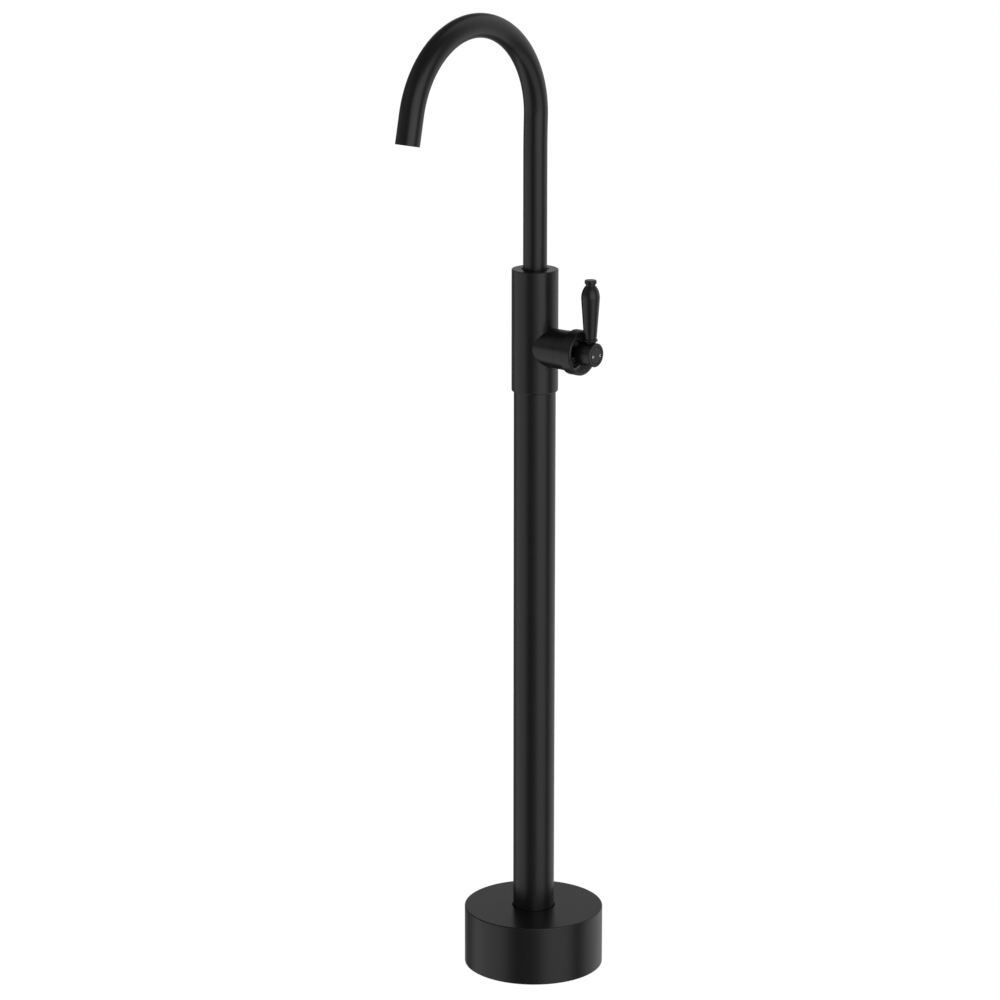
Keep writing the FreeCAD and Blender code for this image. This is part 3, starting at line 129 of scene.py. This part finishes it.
rod_play = 0.05 * MM
rod_bore = reach("lever_rod", Y)[1] + rod_play
mouth_wall = 2.5 * MM
mouth_radius = reach("bonnet", Y)[1] - mouth_wall
thread_length = 11.0 * MM
mouth_floor = bonnet_start + thread_length      # the thread ends and the mouth starts there
grip_foot_radius = 6.75 * MM


# ---------------------------------------------------------------- modelling

def arc_between(start, end, radius):
    """Points of an arc from start to end, its centre on the left of the way there."""
    chord = Vector(end) - Vector(start)
    left = Vector((-chord.y, chord.x)).normalized()
    height = math.sqrt(radius * radius - chord.length_squared / 4)
    centre = Vector(start) + chord / 2 + left * height
    first = Vector(start) - centre
    turn = 2 * math.asin(chord.length / 2 / radius)
    steps = math.ceil(turn / ARC_STEP)
    points = []
    for step in range(1, steps + 1):
        angle = turn * step / steps
        spoke = Vector((first.x * math.cos(angle) - first.y * math.sin(angle),
                        first.x * math.sin(angle) + first.y * math.cos(angle)))
        points.append(tuple(centre + spoke))
    return points


def outline(corners):
    """Points (radius, height) through the corners. A third value is the radius of an arc."""
    points = []
    for corner in corners:
        if len(corner) == 3:
            points.extend(arc_between(points[-1], corner[:2], corner[2]))
        else:
            points.append(corner)
    return points


def rename(piece, name):
    piece.name = name
    piece.data.name = name


def finish_mesh(piece, name):
    """Point the faces outwards, shade the curved ones smooth and keep the flats flat."""
    bpy.ops.object.mode_set(mode="EDIT")
    bpy.ops.mesh.select_all(action="SELECT")
    bpy.ops.mesh.normals_make_consistent(inside=False)
    bpy.ops.object.mode_set(mode="OBJECT")
    bpy.ops.object.shade_smooth_by_angle(angle=SHARP)
    weigh = piece.modifiers.new("weigh", "WEIGHTED_NORMAL")
    weigh.keep_sharp = True
    bpy.ops.object.modifier_apply(modifier=weigh.name)
    rename(piece, name)


def turned(name, corners, hollow=False, along_x=False, place=(0, 0, 0)):
    """A piece turned about its own axis: a circle drawn out from ring to ring of its outline.

    A hollow piece's outline goes right round its wall. A solid piece's starts and ends with a
    flat face.
    """
    rings = outline(corners)
    radius, height = rings[0]
    bpy.ops.object.select_all(action="DESELECT")
    bpy.ops.mesh.primitive_circle_add(vertices=TURN_SIDES, radius=radius,
                                      location=(0, 0, height),
                                      fill_type="NOTHING" if hollow else "NGON")
    piece = bpy.context.object
    bpy.ops.object.transform_apply(location=True)
    bpy.ops.object.mode_set(mode="EDIT")
    bpy.ops.mesh.select_mode(type="EDGE" if hollow else "FACE")
    bpy.ops.mesh.select_all(action="SELECT")
    for next_radius, next_height in rings[1:]:
        bpy.ops.mesh.extrude_region_move(
            TRANSFORM_OT_translate={"value": (0, 0, next_height - height)})
        ratio = next_radius / radius
        bpy.ops.transform.resize(value=(ratio, ratio, 1), center_override=(0, 0, next_height))
        radius, height = next_radius, next_height
    if hollow:
        bpy.ops.mesh.select_all(action="DESELECT")
        bpy.ops.mesh.select_non_manifold()
        bpy.ops.mesh.bridge_edge_loops()
    bpy.ops.object.mode_set(mode="OBJECT")
    if along_x:
        piece.rotation_euler.y = math.radians(90)
    piece.location = place
    bpy.ops.object.transform_apply(location=True, rotation=True)
    finish_mesh(piece, name)
    return piece


def seat(piece, body, slot, *nodes):
    """The piece rides on its body, takes its slot's finish and stands for its CAD nodes."""
    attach(piece, body)
    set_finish(piece, slot)
    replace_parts(piece, *nodes)
    return piece


def base_cover():
    """The round cover on the floor, hollow under its top, with a neck that holds the seal."""
    wall = 2.0 * MM
    edge = 1.2 * MM
    hole_edge = 0.5 * MM
    column_gap = 1.0 * MM
    seal_depth = 1.7 * MM
    neck_wall = 2.6 * MM
    neck_length = 7.0 * MM
    seal_below = 3.0 * MM
    seal_height = 2.65 * MM
    hole = column_radius + column_gap
    seal_seat = hole + seal_depth
    neck = seal_seat + neck_wall
    neck_foot = cover_height - neck_length
    seal_top = cover_height - seal_below
    seal_foot = seal_top - seal_height
    inside = cover_radius - wall
    under = cover_height - wall
    piece = turned("base_cover_shell", [
        (cover_radius, 0),
        (cover_radius, cover_height - edge),
        (cover_radius - edge, cover_height, edge),
        (hole + hole_edge, cover_height),
        (hole, cover_height - hole_edge, hole_edge),
        (hole, seal_top),
        (seal_seat, seal_top),
        (seal_seat, seal_foot),
        (hole, seal_foot),
        (hole, neck_foot),
        (neck, neck_foot),
        (neck, under),
        (inside, under),
        (inside, 0),
    ], hollow=True)
    return seat(piece, "cover", "black_coat", "base_cover")


def column():
    """The plain tube between the cover and the mixer body."""
    wall = 1.5 * MM
    bore = column_radius - wall
    piece = turned("column", [
        (column_radius, column_foot),
        (column_radius, column_top),
        (bore, column_top),
        (bore, column_foot),
    ], hollow=True)
    return seat(piece, "stand", "black_coat", "column_tube")


def bonnet():
    """The sleeve screwed on over the cartridge, with a rim round its open mouth."""
    radius = reach("bonnet", Y)[1]
    rim_step = 2.9 * MM
    rim_length = 12.6 * MM
    rim_round = 2.3 * MM
    chamfer = 0.8 * MM
    thread = 18.05 * MM
    seal_seat = 19.2 * MM
    seal_length = 1.2 * MM
    sleeve = radius - rim_step
    rim_start = bonnet_end - rim_length
    step_start = rim_start - chamfer
    seal_end = bonnet_start + seal_length
    piece = turned("bonnet_sleeve", [
        (seal_seat, bonnet_start),
        (sleeve, bonnet_start),
        (sleeve, step_start),
        (radius - chamfer, step_start),
        (radius, rim_start),
        (radius, bonnet_end - rim_round),
        (radius - rim_round, bonnet_end, rim_round),
        (mouth_radius, bonnet_end),
        (mouth_radius, mouth_floor),
        (thread, mouth_floor),
        (thread, seal_end),
        (seal_seat, seal_end),
    ], hollow=True, along_x=True, place=(0, 0, valve_height))
    return seat(piece, "stand", "black_coat", "bonnet")


def handle_hub():
    """The hub, from the end of the stem's bore round to the recess that holds the plate."""
    length = 18.5 * MM
    boss = 7.0 * MM
    edge = 1.0 * MM
    plate_gap = 0.5 * MM
    stem_bore = 3.05 * MM
    web = 5.1 * MM
    hub_start = hub_end - length
    recess = plate_radius + plate_gap
    stem_end = plate_seat - web
    piece = turned("hub", [
        (stem_bore, stem_end),
        (stem_bore, hub_boss_start),
        (boss, hub_boss_start),
        (boss, hub_start),
        (hub_radius - edge, hub_start),
        (hub_radius, hub_start + edge, edge),
        (hub_radius, hub_end - edge),
        (hub_radius - edge, hub_end, edge),
        (recess, hub_end),
        (recess, plate_seat),
    ], along_x=True, place=(0, 0, valve_height))
    return seat(piece, "lever", "black_coat", "handle_hub")


def indicator_plate():
    """The small round plate in the hub's face. Its foot is hidden in the recess."""
    edge = 0.15 * MM
    piece = turned("indicator_plate", [
        (plate_radius, plate_seat),
        (plate_radius, hub_end - edge),
        (plate_radius - edge, hub_end, edge),
    ], along_x=True, place=(0, 0, valve_height))
    return seat(piece, "lever", "black_disc", "indicator_disc")


def mark(name, letter, across, below):
    """One raised painted letter on the plate: which way is hot and which way is cold."""
    size = 3.9 * MM
    stroke_gain = 0.10 * MM
    raised = 0.04 * MM
    bpy.ops.object.select_all(action="DESELECT")
    bpy.ops.object.text_add()
    piece = bpy.context.object
    piece.data.body = letter
    piece.data.align_x = "CENTER"
    piece.data.align_y = "CENTER"
    piece.data.size = size
    piece.data.offset = stroke_gain
    piece.data.extrude = raised
    bpy.ops.object.convert(target="MESH")
    piece.rotation_euler = (math.radians(90), 0, math.radians(90))
    piece.location = (hub_end, across, valve_height - below)
    bpy.ops.object.transform_apply(location=True, rotation=True)
    rename(piece, name)
    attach(piece, "lever")
    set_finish(piece, "black_disc")
    return piece


def lever_collar():
    """The neck on the hub and the bead above it, up to the grip."""
    foot, top = reach("lever_collar", Z)
    bead = reach("lever_collar", Y)[1]
    bead_round = 1.3 * MM
    bead_below = 1.5 * MM
    neck = 4.6 * MM
    neck_chamfer = 1.0 * MM
    bead_top = reach("lever_grip", Z)[0] - bead_below
    bead_foot = bead_top - 2 * bead_round
    piece = turned("collar", [
        (rod_bore, foot),
        (neck, foot),
        (neck, bead_foot - neck_chamfer),
        (bead - bead_round, bead_foot),
        (bead, bead_foot + bead_round, bead_round),
        (bead - bead_round, bead_top, bead_round),
        (grip_foot_radius, top),
        (rod_bore, top),
    ], hollow=True, place=(lever_axis, 0, 0))
    return seat(piece, "lever", "black_coat", "lever_collar")


def lever_grip():
    """The turned grip: a long cone that widens upwards to a round shoulder."""
    foot, top = reach("lever_grip", Z)
    shoulder = reach("lever_grip", Y)[1]
    shoulder_below = 13.2 * MM
    shoulder_round = 20.0 * MM
    top_radius = 5.9 * MM
    piece = turned("grip", [
        (rod_bore, foot),
        (grip_foot_radius, foot),
        (shoulder, top - shoulder_below),
        (top_radius, top, shoulder_round),
        (rod_bore, top),
    ], hollow=True, place=(lever_axis, 0, 0))
    return seat(piece, "lever", "black_coat", "lever_grip")


def lever_end_knob():
    """The end knob: a short neck under a flat button."""
    foot = reach("lever_grip", Z)[1]
    top = reach("lever_finial", Z)[1]
    button = reach("lever_finial", Y)[1]
    neck = 4.9 * MM
    neck_length = 2.0 * MM
    flare = 0.9 * MM
    edge = 0.7 * MM
    piece = turned("end_knob", [
        (neck, foot),
        (neck, foot + neck_length),
        (button, foot + neck_length + flare),
        (button, top - edge),
        (button - edge, top, edge),
    ], place=(lever_axis, 0, 0))
    return seat(piece, "lever", "black_coat", "lever_finial")


def spout():
    """The swan neck: a straight riser, a slight lean back, one large bend, a straight tip."""
    radius = reach("spout_tube", X)[1]
    foot = reach("spout_tube", Z)[0]
    riser_length = 200.5 * MM        # above the valve
    lean_radius = 1024.0 * MM
    lean = math.radians(2.19)
    bend_radius = 99.34 * MM
    tip = math.radians(12.26)
    tip_length = 30.5 * MM
    wall = 1.5 * MM
    riser_top = valve_height + riser_length
    bend_y = lean_radius * (1 - math.cos(lean)) - bend_radius * math.cos(lean)
    bend_z = riser_top + (lean_radius + bend_radius) * math.sin(lean)

    bpy.ops.object.select_all(action="DESELECT")
    bpy.ops.mesh.primitive_circle_add(vertices=TUBE_SIDES, radius=radius, location=(0, 0, foot))
    piece = bpy.context.object
    bpy.ops.object.transform_apply(location=True)
    bpy.ops.object.mode_set(mode="EDIT")
    bpy.ops.mesh.select_mode(type="EDGE")
    bpy.ops.mesh.select_all(action="SELECT")
    bpy.ops.mesh.extrude_region_move(
        TRANSFORM_OT_translate={"value": (0, 0, riser_top - foot)})
    bpy.ops.mesh.spin(steps=LEAN_STEPS, angle=lean, center=(0, lean_radius, riser_top),
                      axis=(1, 0, 0))
    bpy.ops.mesh.spin(steps=BEND_STEPS, angle=tip - math.pi - lean, center=(0, bend_y, bend_z),
                      axis=(1, 0, 0))
    bpy.ops.mesh.extrude_region_move(TRANSFORM_OT_translate={
        "value": (0, -tip_length * math.sin(tip), -tip_length * math.cos(tip))})
    bpy.ops.mesh.select_all(action="SELECT")
    bpy.ops.mesh.remove_doubles(threshold=WELD)
    bpy.ops.mesh.normals_make_consistent(inside=False)
    bpy.ops.object.mode_set(mode="OBJECT")
    thicken = piece.modifiers.new("wall", "SOLIDIFY")
    thicken.thickness = wall
    thicken.offset = -1
    thicken.use_even_offset = True
    bpy.ops.object.modifier_apply(modifier=thicken.name)
    finish_mesh(piece, "swan_neck")
    return seat(piece, "spout", "black_coat", "spout_tube")


# ---------------------------------------------------------------- finishes

def connect(tree, entry, term):
    """Give a socket its value, or the wire that feeds it."""
    if isinstance(term, Wire):
        tree.links.new(term.socket, entry)
    else:
        entry.default_value = term


def math_node(tree, operation, *terms):
    node = tree.nodes.new("ShaderNodeMath")
    node.operation = operation
    for entry, term in zip(node.inputs, terms):
        connect(tree, entry, term)
    return Wire(tree, node.outputs[0])


class Wire:
    """A socket of a material. Python's operators on it add Math nodes."""

    def __init__(self, tree, socket):
        self.tree = tree
        self.socket = socket

    def __add__(self, other):
        return math_node(self.tree, "ADD", self, other)

    def __radd__(self, other):
        return math_node(self.tree, "ADD", other, self)

    def __sub__(self, other):
        return math_node(self.tree, "SUBTRACT", self, other)

    def __rsub__(self, other):
        return math_node(self.tree, "SUBTRACT", other, self)

    def __mul__(self, other):
        return math_node(self.tree, "MULTIPLY", self, other)

    def __rmul__(self, other):
        return math_node(self.tree, "MULTIPLY", other, self)


class Nodes:
    """A node tree that takes a node, its settings and its sockets in one call."""

    def __init__(self, tree):
        self.tree = tree

    def node(self, kind, settings=None, output=0, **inputs):
        """Add a node: its settings first, then its sockets' values or wires."""
        node = self.tree.nodes.new(kind)
        for setting, value in (settings or {}).items():
            setattr(node, setting, value)
        for socket, value in inputs.items():
            connect(self.tree, node.inputs[socket.replace("_", " ")], value)
        return Wire(self.tree, node.outputs[output])

    def math(self, operation, *terms):
        return math_node(self.tree, operation, *terms)

    def step(self, value, low, high):
        """0 below low, 1 above high and smooth between."""
        return self.node("ShaderNodeMapRange", {"interpolation_type": "SMOOTHSTEP"},
                         Value=value, From_Min=low, From_Max=high)

    def axes(self, vector):
        """The three parts of a vector."""
        return [self.node("ShaderNodeSeparateXYZ", Vector=vector, output=axis)
                for axis in "XYZ"]

    def ray_is(self, kind):
        """1 for rays of one kind, such as Camera or Diffuse, and 0 for others."""
        return self.node("ShaderNodeLightPath", output=f"Is {kind} Ray")


class Finish(Nodes):
    """A procedural material, built from nodes around one Principled surface."""

    def __init__(self, name, **constants):
        self.material = bpy.data.materials.new(name)
        self.material.use_nodes = True
        super().__init__(self.material.node_tree)
        self.tree.nodes.clear()
        self.surface = self.tree.nodes.new("ShaderNodeBsdfPrincipled")
        self.output = self.tree.nodes.new("ShaderNodeOutputMaterial")
        self.tree.links.new(self.surface.outputs["BSDF"], self.output.inputs["Surface"])
        self.place = self.node("ShaderNodeTexCoord", output="Object")
        for socket, value in constants.items():
            self.surface.inputs[socket.replace("_", " ")].default_value = value

    def noise(self, size, detail=2.0):
        """Soft noise about its middle, its patches about size across."""
        return self.node("ShaderNodeTexNoise", Vector=self.place, Scale=1 / size, Detail=detail)

    def blend(self, amount, first, second):
        """A colour between first and second."""
        node = self.tree.nodes.new("ShaderNodeMix")
        node.data_type = "RGBA"
        for socket, value in zip(MIX_INPUTS, (amount, first, second)):
            connect(self.tree, node.inputs[socket], value)
        return Wire(self.tree, node.outputs[MIX_OUTPUT])

    def wear(self, colour, roughness, height, depth):
        """Feed the surface: its colour, its roughness and a relief of that depth."""
        connect(self.tree, self.surface.inputs["Base Color"], colour)
        connect(self.tree, self.surface.inputs["Roughness"], roughness)
        relief = self.node("ShaderNodeBump", Strength=1.0, Distance=depth, Height=height,
                           output="Normal")
        connect(self.tree, self.surface.inputs["Normal"], relief)
        return self.material


def grey(level):
    return (level, level, level, 1)


def shades(tone, fade):
    """A tone's darker shade and the tone itself, as colours."""
    return tuple((1 - fade) * part for part in tone) + (1,), tone + (1,)


def painted_mouth_light(finish):
    """1 on the lower side of the bonnet's mouth, 0 elsewhere.

    The pale tone there is painted light, standing in for the light that falls on the lower
    wall. That it is bare there is a guess, made to match the light tone that the photo
    shows.
    """
    soft = 0.05 * MM
    painted_light_full = -0.4 * mouth_radius
    painted_light_ends = 0.1 * mouth_radius
    x, y, z = finish.axes(finish.place)
    rise = z - valve_height
    radius = finish.math("SQRT", y * y + rise * rise)
    in_bore = 1 - finish.step(radius, mouth_radius + soft, mouth_radius + 2 * soft)
    in_front = finish.step(x, mouth_floor - 2 * soft, mouth_floor - soft)
    below = 1 - finish.step(rise, painted_light_full, painted_light_ends)
    return in_bore * in_front * below


def satin_coat(name="satin_black_coat", level=COAT_LEVEL, roughness=COAT_ROUGHNESS,
               mouth=False):
    """Powder coat: a fine orange peel, and slow changes of tone that show only close up."""
    peel_size, peel_depth, peel_gloss = 0.9 * MM, 0.008 * MM, 0.04
    cloud_size, cloud_tone, cloud_gloss = 35 * MM, 0.08, 0.05
    painted_light_gloss = 0.25
    finish = Finish(name)
    peel = finish.noise(peel_size, detail=1.0)
    cloud = finish.noise(cloud_size)
    colour = finish.blend(cloud, grey(level * (1 - cloud_tone)), grey(level * (1 + cloud_tone)))
    gloss = (roughness + cloud_gloss * (cloud - NOISE_MIDDLE)
             + peel_gloss * (peel - NOISE_MIDDLE))
    # painted light: the lower side of the mouth's wall is made pale and rougher
    if mouth:
        painted_light = painted_mouth_light(finish)
        colour = finish.blend(painted_light, colour, grey(PAINTED_LIGHT_LEVEL))
        gloss = gloss + painted_light_gloss * painted_light
    return finish.wear(colour, gloss, peel, peel_depth)


def brushed_metal(name, tone, roughness, grain):
    """Machined or drawn metal: fine lines of the tool, its tone a little uneven.

    The grain is how many changes a metre has along each axis.
    """
    cloud_size, cloud_fade = 6 * MM, 0.12
    line_gloss, line_depth = 0.10, 0.003 * MM
    finish = Finish(name, Metallic=1.0)
    stretched = finish.node("ShaderNodeMapping", Vector=finish.place, Scale=grain)
    lines = finish.node("ShaderNodeTexNoise", Vector=stretched, Scale=1.0, Detail=2.0)
    cloud = finish.noise(cloud_size)
    colour = finish.blend(cloud, *shades(tone, cloud_fade))
    gloss = roughness + line_gloss * (lines - NOISE_MIDDLE)
    return finish.wear(colour, gloss, lines, line_depth)


def moulded(name, tone, roughness, grain_size, depth):
    """Moulded plastic, rubber, ceramic or paint: an even tone with a fine skin."""
    cloud_size, cloud_fade = 8 * MM, 0.07
    skin_gloss = 0.06
    finish = Finish(name)
    skin = finish.noise(grain_size, detail=3.0)
    cloud = finish.noise(cloud_size)
    colour = finish.blend(cloud, *shades(tone, cloud_fade))
    gloss = roughness + skin_gloss * (skin - NOISE_MIDDLE)
    return finish.wear(colour, gloss, skin, depth)


def finishes():
    """Each material slot's finish."""
    milled = (1400, 1400, 300)
    drawn = (900, 900, 25)
    lathed = (300, 300, 1600)
    return {
        "black_coat": satin_coat(),
        "black_disc": satin_coat("satin_black_plate", level=0.012, roughness=0.36),
        "steel": brushed_metal(
            "machined_steel", (0.55, 0.55, 0.56), roughness=0.34, grain=milled),
        "copper_pipe": brushed_metal(
            "drawn_copper", (0.72, 0.42, 0.28), roughness=0.30, grain=drawn),
        "brass": brushed_metal(
            "turned_brass", (0.72, 0.56, 0.30), roughness=0.28, grain=lathed),
        "black_nut": brushed_metal(
            "blackened_brass", (0.045, 0.045, 0.045), roughness=0.42, grain=lathed),
        "rubber": moulded(
            "black_rubber", (0.02, 0.02, 0.02), roughness=0.75,
            grain_size=0.4 * MM, depth=0.008 * MM),
        "slide_plastic": moulded(
            "black_slide_plastic", (0.018, 0.018, 0.018), roughness=0.5,
            grain_size=0.6 * MM, depth=0.003 * MM),
        "cartridge_plastic": moulded(
            "dark_cartridge_plastic", (0.030, 0.030, 0.031), roughness=0.45,
            grain_size=0.7 * MM, depth=0.004 * MM),
        "ceramic": moulded(
            "lapped_ceramic", (0.85, 0.84, 0.80), roughness=0.12,
            grain_size=0.2 * MM, depth=0.0002 * MM),
        "outlet_plastic": moulded(
            "dark_outlet_plastic", (0.05, 0.05, 0.05), roughness=0.5,
            grain_size=0.5 * MM, depth=0.003 * MM),
    }


def dress(piece, material):
    piece.data.materials.clear()
    piece.data.materials.append(material)


# ---------------------------------------------------------------- studio

def floor():
    """Pale floor, white to the camera apart from the soft shadow that the object leaves."""
    bpy.ops.object.select_all(action="DESELECT")
    bpy.ops.mesh.primitive_plane_add(size=FLOOR_SIZE, location=(0, 0, -FLOOR_DROP))
    piece = bpy.context.object
    piece.name = "floor"
    finish = Finish("pale_floor", Base_Color=grey(FLOOR_TONE), Roughness=FLOOR_ROUGHNESS)
    glow = finish.node("ShaderNodeEmission", Color=WHITE, Strength=FLOOR_GLOW)
    mixed = finish.tree.nodes.new("ShaderNodeMixShader")
    share, lit, glowing = mixed.inputs
    connect(finish.tree, share, finish.ray_is("Camera") * GLOW_SHARE)
    connect(finish.tree, lit, Wire(finish.tree, finish.surface.outputs["BSDF"]))
    connect(finish.tree, glowing, glow)
    finish.tree.links.new(mixed.outputs["Shader"], finish.output.inputs["Surface"])
    dress(piece, finish.material)
    piece.visible_glossy = False


def surroundings():
    """The room that the coat mirrors: dark, with soft panels. The camera sees plain white.

    The room's level and the panels' places, sizes and strengths began as a fit to the
    tones that the photo shows on the coat, and some were then changed.
    """
    world = bpy.data.worlds.new("studio")
    bpy.context.scene.world = world
    world.use_nodes = True
    room = Nodes(world.node_tree)
    room.tree.nodes.clear()
    x, y, z = room.axes(room.node("ShaderNodeTexCoord", output="Generated"))
    level = room.math("MAXIMUM", room.math("SQRT", x * x + y * y), LEAST_LEVEL)

    def panel(strength, bearing, half_width, low=LOWEST, high=HIGHEST, soft=12):
        """A soft panel: bearing, half width and soft edge in degrees, foot and top as sines."""
        angle = CAMERA_YAW - math.radians(90 - bearing)
        facing = room.math("DIVIDE", x * math.cos(angle) + y * math.sin(angle), level)
        light = strength * room.step(facing, math.cos(math.radians(half_width + soft)),
                                     math.cos(math.radians(half_width - soft)))
        if low > LOWEST:
            light = light * room.step(z, low - SOFT_RISE, low + SOFT_RISE)
        if high < HIGHEST:
            light = light * (1 - room.step(z, high - SOFT_RISE, high + SOFT_RISE))
        return light

    light = (ROOM_LEVEL
             + panel(strength=1.06, bearing=28, half_width=31, low=-0.16, high=0.60)
             + panel(strength=0.61, bearing=41, half_width=25, high=0.0, soft=10)
             + panel(strength=0.64, bearing=-82, half_width=36, high=0.03, soft=14)
             + panel(strength=0.18, bearing=-82, half_width=36, low=0.25, high=0.65, soft=14)
             + panel(strength=0.59, bearing=122, half_width=27, soft=14)
             + panel(strength=0.40, bearing=178, half_width=20, low=-0.50, high=0.37))
    seen = room.ray_is("Camera")
    strength = light * (1 + (MATTE_GAIN - 1) * room.ray_is("Diffuse")) * (1 - seen) + seen
    backdrop = room.node("ShaderNodeBackground", Color=WHITE, Strength=strength)
    output = room.tree.nodes.new("ShaderNodeOutputWorld")
    connect(room.tree, output.inputs["Surface"], backdrop)


def camera():
    data = bpy.data.cameras.new("camera")
    data.lens = CAMERA_LENS
    data.sensor_width = CAMERA_SENSOR
    data.sensor_fit = "HORIZONTAL"
    holder = bpy.data.objects.new("camera", data)
    bpy.context.scene.collection.objects.link(holder)
    holder.location = CAMERA_PLACE
    holder.rotation_euler = (math.radians(90) - CAMERA_PITCH, 0, CAMERA_YAW)
    bpy.context.scene.camera = holder


# ---------------------------------------------------------------- the whole scene

base_cover()
column()
sleeve = bonnet()
handle_hub()
indicator_plate()
lever_collar()
lever_grip()
lever_end_knob()
spout()

finish_of = finishes()
for part in frame["record"]["subparts"]:
    dress(frame["nodes"][part["node"]], finish_of[part["material_slot"]])
for piece in bpy.context.scene.objects:
    if "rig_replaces" in piece:
        dress(piece, finish_of[piece["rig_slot"]])
# the sleeve's coat has painted light on the lower side of its mouth
dress(sleeve, satin_coat("satin_black_sleeve_painted_light", mouth=True))
dress(frame["nodes"]["cartridge_stem"], finish_of["black_nut"])     # painted shade: the brass stem, seen in the shaded mouth, takes the dark nut's finish

paint = moulded("white_mark_paint", (0.85, 0.85, 0.85), roughness=0.5,
                grain_size=0.3 * MM, depth=0.001 * MM)
dress(mark("hot_mark", "H", across=-5.15 * MM, below=1.1 * MM), paint)
dress(mark("cold_mark", "C", across=6.6 * MM, below=1.3 * MM), paint)

floor()
surroundings()
camera()

bpy.context.scene.view_settings.view_transform = "Standard"
